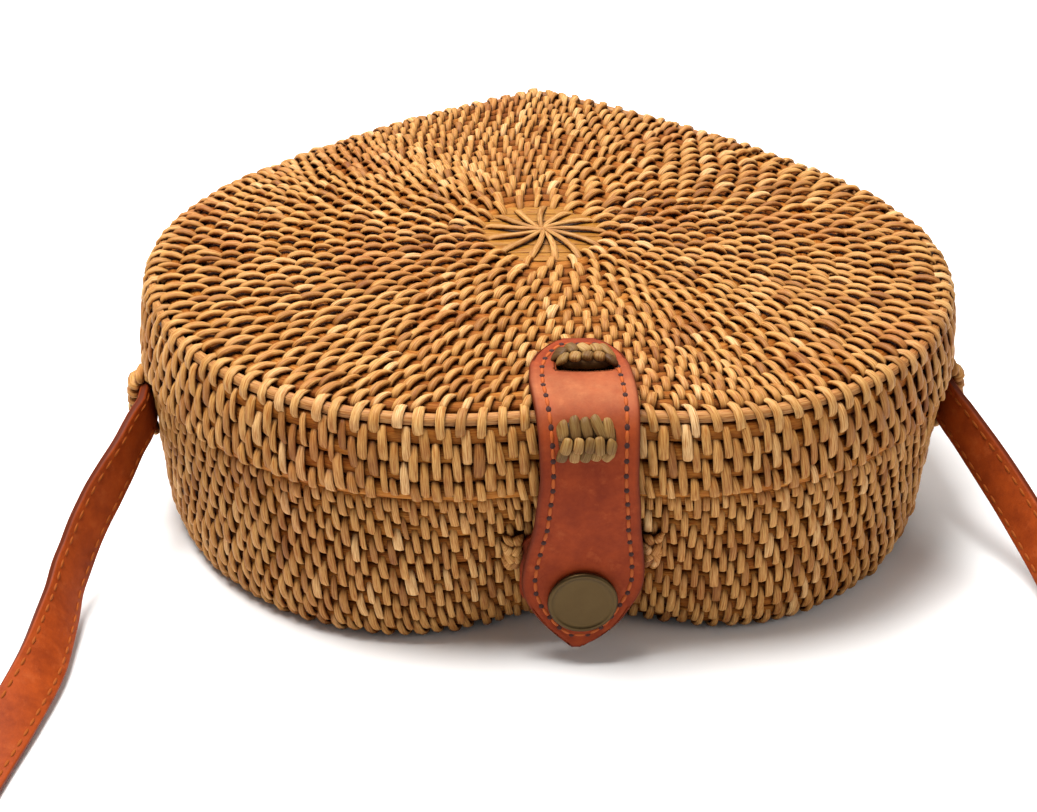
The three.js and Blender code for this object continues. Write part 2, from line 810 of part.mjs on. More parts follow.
const strapRings = strapPath.map((row, i) => {
  const before = strapPath[Math.max(i - 1, 0)];
  const after = strapPath[Math.min(i + 1, strapPath.length - 1)];
  const tangent = new THREE.Vector3(after.x - before.x, after.y - before.y, after.z - before.z);
  tangent.normalize();
  const upright = upZ.clone().addScaledVector(tangent, -tangent.z).normalize();
  const flat = new THREE.Vector3().crossVectors(upright, tangent).multiplyScalar(-1);
  const angle = THREE.MathUtils.degToRad(row.tilt);
  const width = flat.multiplyScalar(Math.cos(angle)).addScaledVector(upright, Math.sin(angle));
  const normal = new THREE.Vector3().crossVectors(tangent, width);
  const a = row.width / 2;
  const corners = [
    [-a + 0.5, strapHalf],
    [a - 0.5, strapHalf],
    [a, strapHalf - 0.5],
    [a, -strapHalf + 0.5],
    [a - 0.5, -strapHalf],
    [-a + 0.5, -strapHalf],
    [-a, -strapHalf + 0.5],
    [-a, strapHalf - 0.5],
  ];
  const centre = new THREE.Vector3(row.x, row.y, row.z);
  return corners.map(([w, t]) => centre.clone()
    .addScaledVector(width, w)
    .addScaledVector(normal, t));
});
add('shoulder_strap', faceOut(loft(strapRings)), 'strapLeather');

// Rivet heads on the strap tails
[-1, 1].forEach((side) => {
  const middle = new THREE.Vector3(0, rivetY, linear(strapTail, 'y', rivetY, 'z'));
  middle.x = strapX(side, middle.y, middle.z) + side * (strapHalf + pieceGap);
  const profile = [
    [0, 0],
    [rivetRadius, 0],
    [rivetRadius, 0.4],
    [rivetRadius - 0.9, rivetHeight],
    [0, rivetHeight],
  ].map(([radius, out]) => new THREE.Vector2(radius, out));
  const geometry = mergeVertices(new THREE.LatheGeometry(profile, 20), 1e-4);
  geometry.rotateZ((-side * Math.PI) / 2);
  geometry.translate(middle.x, middle.y, middle.z);
  const name = side < 0 ? 'strap_rivet_left' : 'strap_rivet_right';
  add(name, faceOut(toWelded(geometry)), 'brass');
});

// Lid hinge: a cane pin through three wrapped loops
function hingeLoop(name, from, to, armZ, wallGapY) {
  const shape = new THREE.Shape();
  const armLow = armZ - hingeArmHeight / 2;
  const armHigh = armZ + hingeArmHeight / 2;
  const joinLow = Math.asin(THREE.MathUtils.clamp((armLow - hingeZ) / loopOuterRadius, -1, 1));
  const joinHigh = Math.asin(THREE.MathUtils.clamp((armHigh - hingeZ) / loopOuterRadius, -1, 1));
  const steps = 20;
  shape.moveTo(-20, armLow - hingeZ);
  const start = Math.PI - joinLow;
  const end = Math.PI - joinHigh;
  for (let i = 0; i <= steps; i += 1) {
    const a = start + ((end + 2 * Math.PI - start) * i) / steps;
    shape.lineTo(loopOuterRadius * Math.cos(a), loopOuterRadius * Math.sin(a));
  }
  shape.lineTo(-20, armHigh - hingeZ);
  shape.closePath();
  const bore = new THREE.Path();
  bore.absarc(0, 0, loopBoreRadius, 0, 2 * Math.PI, true);
  shape.holes.push(bore);
  const geometry = new THREE.ExtrudeGeometry(shape, {
    depth: to - from,
    bevelEnabled: false,
    curveSegments: 16,
    steps: 1,
  });
  const turn = new THREE.Matrix4().set(
    0, 0, 1, from,
    1, 0, 0, hingeY,
    0, 1, 0, hingeZ,
    0, 0, 0, 1,
  );
  geometry.applyMatrix4(turn);
  const p = geometry.attributes.position;
  for (let i = 0; i < p.count; i += 1) {
    if (p.getY(i) < hingeY - 15) p.setY(i, wallGapY(p.getX(i)));
  }
  add(name, faceOut(toWelded(geometry)), 'paleRattan');
}

function backWallY(x, z, offset) {
  const ring = heartRing(offset, z);
  let best = 0;
  for (let i = 0; i < ring.length; i += 1) {
    const a = ring[i];
    const b = ring[(i + 1) % ring.length];
    if ((a.x - x) * (b.x - x) <= 0 && a.x !== b.x) {
      best = Math.max(best, a.y + ((b.y - a.y) * (x - a.x)) / (b.x - a.x));
    }
  }
  return best + pieceGap;
}

const baseArmZ = 44.6;
const lidArmZ = 50;
const baseArmEnd = (x) => backWallY(x, baseArmZ + 2, wallOffset(baseArmZ + 2));
const lidArmEnd = () => backWallY(0, lidArmZ - 2, 1.5);
hingeLoop('hinge_loop_left', -baseLoopOuter, -baseLoopInner, baseArmZ, baseArmEnd);
hingeLoop('hinge_loop_right', baseLoopInner, baseLoopOuter, baseArmZ, baseArmEnd);
hingeLoop('hinge_loop_lid', -lidLoopHalfWidth, lidLoopHalfWidth, lidArmZ, lidArmEnd);

const pin = new THREE.CylinderGeometry(pinRadius, pinRadius, 2 * pinHalfLength, 20);
pin.rotateZ(Math.PI / 2);
pin.translate(0, hingeY, hingeZ);
add('hinge_pin', faceOut(toWelded(pin)), 'paleRattan');

export default group;
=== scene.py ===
import math

import bmesh
import bpy
import numpy as np
from mathutils import Matrix, Vector


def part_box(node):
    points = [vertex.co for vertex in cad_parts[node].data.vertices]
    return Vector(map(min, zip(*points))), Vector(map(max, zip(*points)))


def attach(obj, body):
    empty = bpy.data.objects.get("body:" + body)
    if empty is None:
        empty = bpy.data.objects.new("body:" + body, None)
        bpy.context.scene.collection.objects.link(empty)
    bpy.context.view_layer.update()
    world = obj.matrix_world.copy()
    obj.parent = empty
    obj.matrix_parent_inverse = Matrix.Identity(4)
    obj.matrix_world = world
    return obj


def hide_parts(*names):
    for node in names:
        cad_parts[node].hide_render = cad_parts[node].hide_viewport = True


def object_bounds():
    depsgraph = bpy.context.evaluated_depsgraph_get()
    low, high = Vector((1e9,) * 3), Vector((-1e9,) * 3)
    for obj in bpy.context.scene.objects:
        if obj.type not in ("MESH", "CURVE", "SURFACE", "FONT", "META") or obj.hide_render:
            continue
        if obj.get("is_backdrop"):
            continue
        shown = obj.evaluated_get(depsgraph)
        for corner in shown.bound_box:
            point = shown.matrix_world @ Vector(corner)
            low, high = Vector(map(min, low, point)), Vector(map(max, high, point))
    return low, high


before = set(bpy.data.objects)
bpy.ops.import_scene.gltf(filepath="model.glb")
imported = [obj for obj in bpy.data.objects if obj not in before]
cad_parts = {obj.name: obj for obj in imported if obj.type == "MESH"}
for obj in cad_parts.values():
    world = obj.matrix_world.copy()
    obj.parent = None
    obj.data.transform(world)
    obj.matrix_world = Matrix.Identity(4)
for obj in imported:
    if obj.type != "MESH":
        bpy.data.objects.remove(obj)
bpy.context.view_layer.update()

# Camera: in front of the bag and 331 mm up, looking down at the lid.
# The lens is long for the distance, so the lid's far tip stays wide.
pan, tilt, roll = math.radians(3.524), math.radians(30.96), math.radians(1.24)
ahead = Vector((math.sin(pan) * math.cos(tilt), math.cos(pan) * math.cos(tilt), -math.sin(tilt)))
level = Vector((math.cos(pan), -math.sin(pan), 0))
upright = level.cross(ahead)
cam_right = level * math.cos(roll) + upright * math.sin(roll)
cam_up = upright * math.cos(roll) - level * math.sin(roll)
camera = bpy.data.objects.new("camera", bpy.data.cameras.new("camera"))
bpy.context.scene.collection.objects.link(camera)
camera.data.sensor_width = 36
camera.data.lens = 76.1
camera.data.clip_start, camera.data.clip_end = 0.02, 20
turn = Matrix((cam_right, cam_up, -ahead)).transposed().to_4x4()
camera.matrix_world = Matrix.Translation((-0.0428, -0.527, 0.3311)) @ turn
bpy.context.scene.camera = camera

# Light: a soft box almost straight above the lid, weak ones to the right and behind, and a pale
# room. The strands throw short shadows into the weave, and the walls stay darker than the lid.
world = bpy.data.worlds.new("pale_room")
bpy.context.scene.world = world
world.use_nodes = True
world.node_tree.nodes["Background"].inputs["Color"].default_value = (1, 1, 1, 1)
world.node_tree.nodes["Background"].inputs["Strength"].default_value = 0.22
bpy.context.scene.view_settings.view_transform = "Standard"
for name, place, aim, size, power in (
    ("key_box", (-0.3, -0.02, 1.25), (0, 0, 0.04), 0.6, 32),
    ("right_box", (1.1, -0.5, 0.7), (0, 0, 0.03), 0.7, 3),
    ("back_box", (0.1, 0.9, 1.0), (0, 0, 0.03), 0.8, 8),
):
    lamp = bpy.data.objects.new(name, bpy.data.lights.new(name, "AREA"))
    bpy.context.scene.collection.objects.link(lamp)
    lamp.data.size = size
    lamp.data.energy = power
    lamp.location = place
    lamp.rotation_euler = (Vector(aim) - Vector(place)).to_track_quat("-Z", "Y").to_euler()


def linear(text):
    """Colour of a hex string as linear values."""
    parts = [int(text[i:i + 2], 16) / 255 for i in (1, 3, 5)]
    return (*[c / 12.92 if c <= 0.04045 else ((c + 0.055) / 1.055) ** 2.4 for c in parts], 1)


def shade(tree, kind, settings, links):
    """Adds one shader node with its settings and links."""
    made = tree.nodes.new(kind)
    for key, value in settings.items():
        if isinstance(key, int) or key in made.inputs:
            made.inputs[key].default_value = value
        else:
            setattr(made, key, value)
    for key, socket in links.items():
        tree.links.new(socket, made.inputs[key])
    return made


def material(name):
    """A new material with its node tree and its shader."""
    made = bpy.data.materials.new(name)
    made.use_nodes = True
    return made, made.node_tree, made.node_tree.nodes["Principled BSDF"]


# Floor: a plain sheet of pale matt paper under and all round the bag, with no edge in view.
# It belongs to the stage. Matt paper has no gloss, so only soft shadows show on it.
FLOOR_HALF = 6
floor_mesh = bmesh.new()
bmesh.ops.create_grid(floor_mesh, x_segments=1, y_segments=1, size=FLOOR_HALF)
floor_data = bpy.data.meshes.new("floor")
floor_mesh.to_mesh(floor_data)
floor_mesh.free()
floor = bpy.data.objects.new("floor", floor_data)
bpy.context.scene.collection.objects.link(floor)
pale, _, pale_shader = material("pale_matt_paper")
pale_shader.inputs["Base Color"].default_value = linear("#f7f6f4")
pale_shader.inputs["Roughness"].default_value = 0.9
floor_data.materials.append(pale)
floor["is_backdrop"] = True

# Lid coils: round canes laid in rings from the middle of the lid out to the rim and down its skirt.
# The rings start as circles and take the heart's form towards the rim.
# Each is a closed rod that lies against the next, so no light comes through.
HEART = {"length": 195.3, "left": 109.1, "right": 100.9, "lobe": 78.6, "side": 292.9, "tip": 4.7,
         "notch": 200.0, "least": 0.8, "seam": 47.4}
# A dent runs down the wall below the notch, deepest at the floor.
DENT = {"top": 0.4, "depth": 11.2, "width": 33.4}
HUB = np.array([-5.2, -3.9])


def half_arcs(width):
    """Arc centres of one half of the heart."""
    lobe, side = HEART["lobe"], HEART["side"]
    x = width - lobe
    tip_y = HEART["length"] - HEART["tip"] - lobe
    reach = side - lobe

    def miss(angle):
        return math.hypot(x - reach * math.cos(angle), -reach * math.sin(angle) - tip_y) - (
            side - HEART["tip"])

    low, high = -0.6, 1.3
    sign = miss(low) > 0
    for _ in range(60):
        middle = (low + high) / 2
        if (miss(middle) > 0) == sign:
            low = middle
        else:
            high = middle
    notch_y = -math.sqrt((lobe + HEART["notch"]) ** 2 - x ** 2)
    return {"x": x, "join": low, "side_x": x - reach * math.cos(low), "side_y": -reach * math.sin(low),
            "notch_y": notch_y, "notch_angle": math.atan2(notch_y, -x)}


ARCS = [half_arcs(HEART["right"]), half_arcs(HEART["left"])]
NOTCH_POINT = sum(a["notch_y"] for a in ARCS) / 2 + HEART["notch"]


def heart_half(arcs, offset):
    """One half of the heart moved outwards, from the notch to the tip."""
    tip = max(HEART["tip"] + offset, HEART["least"])
    side = HEART["side"] + offset
    tip_y = arcs["side_y"] + math.sqrt((side - tip) ** 2 - arcs["side_x"] ** 2)
    end = math.atan2(tip_y - arcs["side_y"], -arcs["side_x"])
    parts = []
    for x, y, radius, start, stop, steps in (
        (0, arcs["notch_y"], HEART["notch"] - offset, math.pi / 2, arcs["notch_angle"] + math.pi, 24),
        (arcs["x"], 0, HEART["lobe"] + offset, arcs["notch_angle"], arcs["join"], 120),
        (arcs["side_x"], arcs["side_y"], side, arcs["join"], end, 90),
        (0, tip_y, tip, end, math.pi / 2, 14),
    ):
        angle = start + (stop - start) * np.arange(steps) / steps
        parts.append(np.c_[x + radius * np.cos(angle), y + radius * np.sin(angle)])
    points = np.vstack(parts + [[[0, tip_y + tip]]])
    lift = NOTCH_POINT - offset - points[0, 1]
    points[:, 1] += lift * np.exp(-(points[:, 0] / 20) ** 2) * (points[:, 1] < 0)
    return points


RING_COUNT = 960


def heart_ring(offset, z):
    """Ring of points at equal steps of the plain outline's length, anticlockwise from the notch."""
    right = heart_half(ARCS[0], offset)
    left = heart_half(ARCS[1], offset) * [-1, 1]
    right[-1] = (right[-1] + left[-1]) / 2
    loop = np.vstack([right, left[1:-1][::-1]])
    low = 1 - min(max(z / HEART["seam"], 0), 1)
    dent = (DENT["top"] + DENT["depth"] * low) * np.exp(-(loop[:, 0] / DENT["width"]) ** 2)
    loop[:, 1] += HEART["lobe"] - HEART["length"] / 2 + np.where(loop[:, 1] < 0, dent, 0)
    closed = np.vstack([loop, loop[:1]])
    run = np.r_[0, np.cumsum(np.hypot(*np.diff(closed, axis=0).T))]
    at = np.linspace(0, run[-1], RING_COUNT, endpoint=False)
    return np.c_[np.interp(at, run, closed[:, 0]), np.interp(at, run, closed[:, 1]),
                 np.full(RING_COUNT, float(z))]


def disc_ring(rim, share, z):
    """Ring inside the rim: a circle round the hub that turns into the rim's form outwards."""
    spoke = rim[:, :2] - HUB
    reach = np.hypot(*spoke.T)
    form = share ** 1.6
    length = share * (form * reach + (1 - form) * reach.mean())
    flat = HUB + spoke / reach[:, None] * length[:, None]
    return np.c_[flat, np.full(len(rim), float(z))]


SKIN_STEP = 0.5  # mm between the rows of a surface's grid


def skin(rows):
    """Outer surface as a fine grid: rows are pairs of distance along the section and ring."""
    along = np.array([t for t, _ in rows])
    rings = np.array([ring for _, ring in rows])
    fine = np.arange(along[0], along[-1] + SKIN_STEP, SKIN_STEP)
    index = np.clip(np.searchsorted(along, fine, side="right") - 1, 0, len(along) - 2)
    share = np.clip((fine - along[index]) / (along[index + 1] - along[index]), 0, 1)[:, None, None]
    grid = rings[index] * (1 - share) + rings[index + 1] * share
    across = np.roll(grid, -3, 1) - np.roll(grid, 3, 1)
    normal = np.cross(np.gradient(grid, axis=0), across)
    normal /= np.linalg.norm(normal, axis=2, keepdims=True) + 1e-12
    length = np.linalg.norm(np.roll(grid, -1, 1) - grid, axis=2).sum(1)
    return {"start": along[0], "grid": grid, "normal": normal, "length": length}


def put(surface, t, s, height):
    """Points at distance t, share s round the ring and a height over the surface, in mm."""
    rows = np.clip((t - surface["start"]) / SKIN_STEP, 0, len(surface["grid"]) - 1.001)
    cols = np.mod(s, 1.0) * RING_COUNT
    r, c = rows.astype(int), cols.astype(int) % RING_COUNT
    fr, fc = (rows - r)[..., None], (cols - np.floor(cols))[..., None]
    d = (c + 1) % RING_COUNT

    def mix(field):
        low = field[r, c] * (1 - fc) + field[r, d] * fc
        high = field[r + 1, c] * (1 - fc) + field[r + 1, d] * fc
        return low * (1 - fr) + high * fr

    return mix(surface["grid"]) + mix(surface["normal"]) * height[..., None]


def ring_length(surface, t):
    """Length round the ring at distance t."""
    rows = np.clip((np.asarray(t) - surface["start"]) / SKIN_STEP, 0, len(surface["grid"]) - 1)
    return np.interp(rows, np.arange(len(surface["length"])), surface["length"])


def link(name, data, body, finish):
    """Object of a piece, with its material, that moves with a body."""
    made = bpy.data.objects.new(name, data)
    bpy.context.scene.collection.objects.link(made)
    data.materials.append(finish)
    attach(made, body)
    return made


def faces_inwards(template, points):
    """True if the copies are turned inside out, told by the sign of their volume."""
    local = points - points.mean(1, keepdims=True)
    volume = 0
    for first, *rest in template["faces"]:
        for b, c in zip(rest, rest[1:]):
            volume += (local[:, first] * np.cross(local[:, b], local[:, c])).sum()
    return volume < 0


def copies(name, template, points, uv, tone, body, finish):
    """A piece of many copies: points and uv are (copies, vertices, n), tone one value a copy."""
    count, size = points.shape[:2]
    data = bpy.data.meshes.new(name)
    turned = faces_inwards(template, points)
    faces = []
    for sides in sorted({len(f) for f in template["faces"]}):
        group = np.array([f[::-1] if turned else f for f in template["faces"] if len(f) == sides])
        spread = (group[None] + (np.arange(count) * size)[:, None, None]).reshape(-1, sides)
        faces.extend(spread.tolist())
    data.from_pydata((points.reshape(-1, 3) * 0.001).tolist(), [], faces)
    data.polygons.foreach_set("use_smooth", np.ones(len(faces), bool))
    corners = np.empty(len(data.loops), int)
    data.loops.foreach_get("vertex_index", corners)
    layer = data.uv_layers.new(name="strand")
    layer.data.foreach_set("uv", uv.reshape(-1, 2)[corners].ravel())
    tones = data.attributes.new("tone", "FLOAT", "POINT")
    tones.data.foreach_set("value", np.repeat(tone, size).astype(np.float32))
    data.update()
    return link(name, data, body, finish)


def from_bmesh(bm):
    """Vertex places and faces of a template, and the template is let go."""
    bm.verts.ensure_lookup_table()
    points = np.array([v.co for v in bm.verts])
    faces = [[v.index for v in f.verts] for f in bm.faces]
    bm.free()
    return {"points": points, "faces": faces}


def hoop_template(steps, sides):
    """Closed ring tube: its angle is read as the way round and its section as depth and width."""
    bm = bmesh.new()
    made = bmesh.ops.create_circle(bm, segments=sides, radius=0.5)
    bmesh.ops.rotate(bm, verts=made["verts"], cent=(0, 0, 0),
                     matrix=Matrix.Rotation(math.pi / 2, 3, "X"))
    bmesh.ops.translate(bm, verts=made["verts"], vec=(4, 0, 0))
    bmesh.ops.spin(bm, geom=bm.verts[:] + bm.edges[:], cent=(0, 0, 0), axis=(0, 0, 1),
                   angle=2 * math.pi, steps=steps, use_merge=True)
    bmesh.ops.remove_doubles(bm, verts=bm.verts, dist=1e-5)
    bmesh.ops.recalc_face_normals(bm, faces=bm.faces)
    bm.verts.index_update()
    shape = from_bmesh(bm)
    x, y, z = shape["points"].T
    shape["s"] = np.mod(np.arctan2(y, x) / (2 * math.pi), 1)
    shape["across"] = z
    shape["out"] = np.hypot(x, y) - 4
    return shape


hoop = hoop_template(220, 8)
rng = np.random.default_rng(7)


def rods(name, body, surface, rows, finish):
    """Rings of cane: rows of middle distance, width along the section, middle height and depth."""
    rows = np.array(rows, float)
    t = rows[:, 0, None] + hoop["across"] * rows[:, 1, None]
    height = rows[:, 2, None] + hoop["out"] * rows[:, 3, None]
    s = np.broadcast_to(hoop["s"], t.shape)
    points = put(surface, t, s, height)
    length = ring_length(surface, rows[:, 0])[:, None]
    shift = rng.random((len(rows), 1)) * 90
    uv = np.stack([s * length, hoop["across"] * rows[:, 1, None] + shift], -1)
    return copies(name, hoop, points, uv, rng.random(len(rows)), body, finish)


# The section runs from the lid's middle over the rim and down the skirt; its crown is 1.2 mm.
LID_TOP, LID_CROWN, DISC = 70.4, 1.2, 93.0
RIM_RING = heart_ring(-4, LID_TOP)
lid_rows = [(DISC * p, disc_ring(RIM_RING, p, LID_TOP + LID_CROWN * (1 - p * p)))
            for p in np.linspace(0.03, 0.999, 40)]
for t, offset, z in (
    (93.0, -4.0, 70.4), (94.2, -2.9, 70.2), (95.3, -1.9, 69.8), (96.6, -0.9, 68.9),
    (97.7, -0.3, 67.9), (98.8, 0.0, 66.8), (106.8, 0.9, 58.9), (118.3, 1.5, 47.5),
):
    lid_rows.append((t, heart_ring(offset, z)))
lid_skin = skin(lid_rows)

TOP_FIRST, TOP_ROWS = 16.0, 18
TOP_PITCH = (DISC - 1.0 - TOP_FIRST) / TOP_ROWS
top_coils = [TOP_FIRST + TOP_PITCH * (k + 0.5) for k in range(TOP_ROWS)]
SKIRT_FIRST, SKIRT_PITCH = 101.2, 5.05
skirt_coils = [SKIRT_FIRST + SKIRT_PITCH * k for k in range(4)]


def cane_material(name, colours, ridge, gloss=0.2):
    """Cane: fibres 4.5 mm long and 0.3 mm wide, coarser than real ones so that they show, a tone
    for each strand, darker patches about 25 mm across and dull spots about 4 mm across."""
    made, tree, shader = material(name)
    uv = shade(tree, "ShaderNodeUVMap", {"uv_map": "strand"}, {})
    tone = shade(tree, "ShaderNodeAttribute", {"attribute_name": "tone"}, {})
    place = shade(tree, "ShaderNodeTexCoord", {}, {})
    stretch = shade(tree, "ShaderNodeMapping", {"Scale": (0.22, 3.4, 1)}, {"Vector": uv.outputs["UV"]})
    fibre = shade(tree, "ShaderNodeTexNoise", {"Scale": 1.0, "Detail": 4, "Roughness": 0.6},
                  {"Vector": stretch.outputs["Vector"]})
    patch = shade(tree, "ShaderNodeTexNoise", {"Scale": 38, "Detail": 3, "Roughness": 0.55},
                  {"Vector": place.outputs["Object"]})
    spot = shade(tree, "ShaderNodeTexNoise", {"Scale": 260, "Detail": 2},
                 {"Vector": place.outputs["Object"]})
    ramp = shade(tree, "ShaderNodeValToRGB", {}, {"Fac": tone.outputs["Fac"]})
    ramp.color_ramp.elements[0].color = linear(colours[0])
    ramp.color_ramp.elements[1].color = linear(colours[-1])
    for i, text in enumerate(colours[1:-1], 1):
        ramp.color_ramp.elements.new(i / (len(colours) - 1)).color = linear(text)
    lines = shade(tree, "ShaderNodeMapRange", {"From Min": 0.35, "From Max": 0.62},
                  {"Value": fibre.outputs["Fac"]})
    aged = shade(tree, "ShaderNodeMapRange", {"From Min": 0.52, "From Max": 0.72, "To Max": 0.4},
                 {"Value": patch.outputs["Fac"]})
    red = shade(tree, "ShaderNodeMix",
                {"data_type": "RGBA", "blend_type": "MULTIPLY", 7: linear("#cc8450")},
                {0: aged.outputs["Result"], 6: ramp.outputs["Color"]})
    grain = shade(tree, "ShaderNodeMix", {"data_type": "RGBA", 6: linear("#c09868"), 7: (1, 1, 1, 1)},
                  {0: lines.outputs["Result"]})
    grained = shade(tree, "ShaderNodeMix", {"data_type": "RGBA", "blend_type": "MULTIPLY", 0: 1.0},
                    {6: red.outputs[2], 7: grain.outputs[2]})
    # Painted shade: the colour is darkened in the hollows of the weave, within a strand's width of a
    # neighbour, where shade falls.
    painted_shade_ao = shade(tree, "ShaderNodeAmbientOcclusion", {"samples": 6, "Distance": 0.0026}, {})
    open_air = shade(tree, "ShaderNodeMapRange", {"From Min": 0.15, "From Max": 0.7},
                     {"Value": painted_shade_ao.outputs["AO"]})
    shaded = shade(tree, "ShaderNodeMix", {"data_type": "RGBA", 6: linear("#66371a"), 7: (1, 1, 1, 1)},
                   {0: open_air.outputs["Result"]})
    deep = shade(tree, "ShaderNodeMix", {"data_type": "RGBA", "blend_type": "MULTIPLY", 0: 1.0},
                 {6: grained.outputs[2], 7: shaded.outputs[2]})
    tree.links.new(deep.outputs[2], shader.inputs["Base Color"])
    shader.inputs["Specular IOR Level"].default_value = gloss
    sheen = shade(tree, "ShaderNodeMapRange", {"To Min": 0.42, "To Max": 0.68},
                  {"Value": spot.outputs["Fac"]})
    tree.links.new(sheen.outputs["Result"], shader.inputs["Roughness"])
    bump = shade(tree, "ShaderNodeBump", {"Strength": ridge, "Distance": 0.00018},
                 {"Height": fibre.outputs["Fac"]})
    tree.links.new(bump.outputs["Normal"], shader.inputs["Normal"])
    return made


# Peeled core: rough and matt, so the coils read as deep honey-brown shade between the strands.
core_cane = cane_material("peeled_cane_core", ["#8f5620", "#a4682a", "#b67a36"], 0.9, 0.06)
lid_coil_rows = [(t, TOP_PITCH * 1.04, -2.35, 3.0) for t in top_coils]
lid_coil_rows += [(t, SKIRT_PITCH * 1.02, -2.2, 2.9) for t in skirt_coils]
lid_coils = rods("lid_coils", "lid", lid_skin, lid_coil_rows, core_cane)
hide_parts("lid_basket")

# Rim cane: one thicker rod of peeled cane laid round the lid's edge, seen between the strands
# that wrap it. Scraped smooth, it shows as one even line, paler than the coils.
rim_cane = cane_material("peeled_rim_cane", ["#a8763f", "#bc8a52"], 0.5)
rods("lid_rim_cane", "lid", lid_skin, [(96.3, 5.4, -2.25, 3.7)], rim_cane)

# Lid strands: flat strips of split rattan sewn over the coils from the middle outwards.
# Each starts under the row before, rises over two coils and turns down at its outer end.
# Neighbouring rows are set half a step apart. The table gives a strand's height and width along it.
STRAND = {
    "u": (0.0, 0.07, 0.18, 0.34, 0.52, 0.7, 0.85, 0.95, 1.0),
    "long": (-2.5, -1.45, -0.75, -0.3, -0.1, -0.08, -0.3, -1.05, -2.3),
    "long_width": (0.7, 0.88, 0.97, 1.0, 1.0, 1.0, 0.98, 0.88, 0.62),
    "bow": (-2.5, -1.55, -0.75, -0.1, 0.2, 0.1, -0.35, -1.15, -2.3),
    "bow_width": (0.7, 0.86, 0.96, 1.0, 1.0, 1.0, 0.96, 0.88, 0.7),
}


def strand_template(sides, stations):
    """Closed oval strand along z with one ring at each of the stations along it."""
    bm = bmesh.new()
    bmesh.ops.create_cone(bm, cap_ends=True, cap_tris=False, segments=sides, radius1=0.5,
                          radius2=0.5, depth=1)
    long_edges = [e for e in bm.edges if abs(e.verts[0].co.z - e.verts[1].co.z) > 0.5]
    bmesh.ops.subdivide_edges(bm, edges=long_edges, cuts=len(stations) - 2, use_grid_fill=True)
    bmesh.ops.recalc_face_normals(bm, faces=bm.faces)
    bm.verts.index_update()
    shape = from_bmesh(bm)
    station = (shape["points"][:, 2] + 0.5) * (len(stations) - 1)
    shape["u"] = np.interp(station, range(len(stations)), stations)
    for key, column, power in (("across", 0, 0.7), ("out", 1, 0.85)):
        value = shape["points"][:, column]
        shape[key] = 0.5 * np.sign(value) * np.abs(2 * value) ** power
    return shape


strand = strand_template(6, STRAND["u"])
plain_strand = strand_template(4, (0.0, 0.12, 0.35, 0.7, 0.9, 1.0))


def even(count, phase):
    """Places of equal step round the ring."""
    return (np.arange(count) + phase) / count


def stagger(surface, starts, step, seed):
    """Places for each row, midway between those of the row before, with strands let in as it grows."""
    dice = np.random.default_rng(seed)
    places = even(max(round(ring_length(surface, starts[0]) / step), 12), 0.0)
    rows = [places]
    for start in starts[1:]:
        places = (places + np.r_[places[1:], places[0] + 1]) / 2
        grow = max(round(ring_length(surface, start) / step), 12) - len(places)
        if grow:
            spots = ((np.arange(abs(grow)) + dice.random(abs(grow))) / abs(grow) * len(places)).astype(int)
            if grow > 0:
                wide = np.r_[places[1:], places[0] + 1] - places
                places = np.sort(np.r_[places, places[spots] + wide[spots] / 2])
            else:
                places = np.delete(places, spots)
        for _ in range(6):
            after, before = np.r_[places[1:], places[0] + 1], np.r_[places[-1] - 1, places[:-1]]
            places = places * 0.5 + (after + before) * 0.25
        rows.append(places)
    return rows


INNER_DEPTH = 4.6


def sew(name, body, surface, rows, seed, finish, shape=strand, form="long", side=1, deep=0.0):
    """Rows of strands: start, length, places, lean in mm, width and thickness in mm."""
    dice = np.random.default_rng(seed)
    points, uvs, tones = [], [], []
    for start, length, places, lean, width, thick in rows:
        n = len(places)
        u = shape["u"][None]
        loose = dice.normal(0, 1, (6, n, 1))
        whole = length * (1 + 0.06 * loose[0])
        t = start + 0.3 * loose[1] + u * whole
        grow = np.interp(u, STRAND["u"], STRAND[form + "_width"]) * width * (1 + 0.12 * loose[2])
        around = ring_length(surface, start + length / 2)
        move = lean * (u - 0.5) * (1 + 0.4 * loose[3]) + 0.3 * loose[4]
        s = places[:, None] + (move + shape["across"] * grow) / around
        rise = np.interp(u, STRAND["u"], STRAND[form]) + 0.16 * loose[5] + deep
        height = side * (rise + shape["out"] * thick)
        if side < 0:
            height = height - INNER_DEPTH
        points.append(put(surface, t, s, height))
        shift = dice.random((n, 1)) * 400
        uvs.append(np.stack([u * whole + shift, shape["across"] * grow + shift * 0.37], -1))
        tones.append(np.clip(dice.normal(0.5, 0.22, n), 0, 1))
    return copies(name, shape, np.vstack(points), np.vstack(uvs), np.concatenate(tones), body,
                  finish)


TOP_STEP, SKIRT_STEP, WALL_STEP = 4.25, 5.05, 4.4
top_starts = [TOP_FIRST + TOP_PITCH * k - 1.6 for k in range(TOP_ROWS)]
top_rows = [(begin, 7.4, places, -1.5, 2.0, 1.35)
            for begin, places in zip(top_starts, stagger(lid_skin, top_starts, TOP_STEP, 3))]
# Split rattan: the vine's satin skin, ribbed along its length, each strip straw or honey by itself.
split_rattan = cane_material("split_rattan_strip",
                             ["#9b6833", "#b68346", "#c49250", "#ce9e5e", "#e0b880"], 0.8)
sew("lid_top_strands", "lid", lid_skin, top_rows, 11, split_rattan, strand, "bow")

# Lid skirt strands: four rows of longer, straighter strips sewn down the lid's side to the seam.
# They lie flat side by side, and the last row is cut short at the seam.
SKIRT_COUNT = round(ring_length(lid_skin, 108) / SKIRT_STEP)
skirt_rows = [(begin, length, even(SKIRT_COUNT, phase), 1.0, 2.25, 1.25) for begin, length, phase in (
    (98.7, 9.4, 0.5), (102.6, 9.8, 0.0), (107.8, 9.6, 0.5), (112.6, 6.0, 0.0))]
sew("lid_skirt_strands", "lid", lid_skin, skirt_rows, 12, split_rattan)
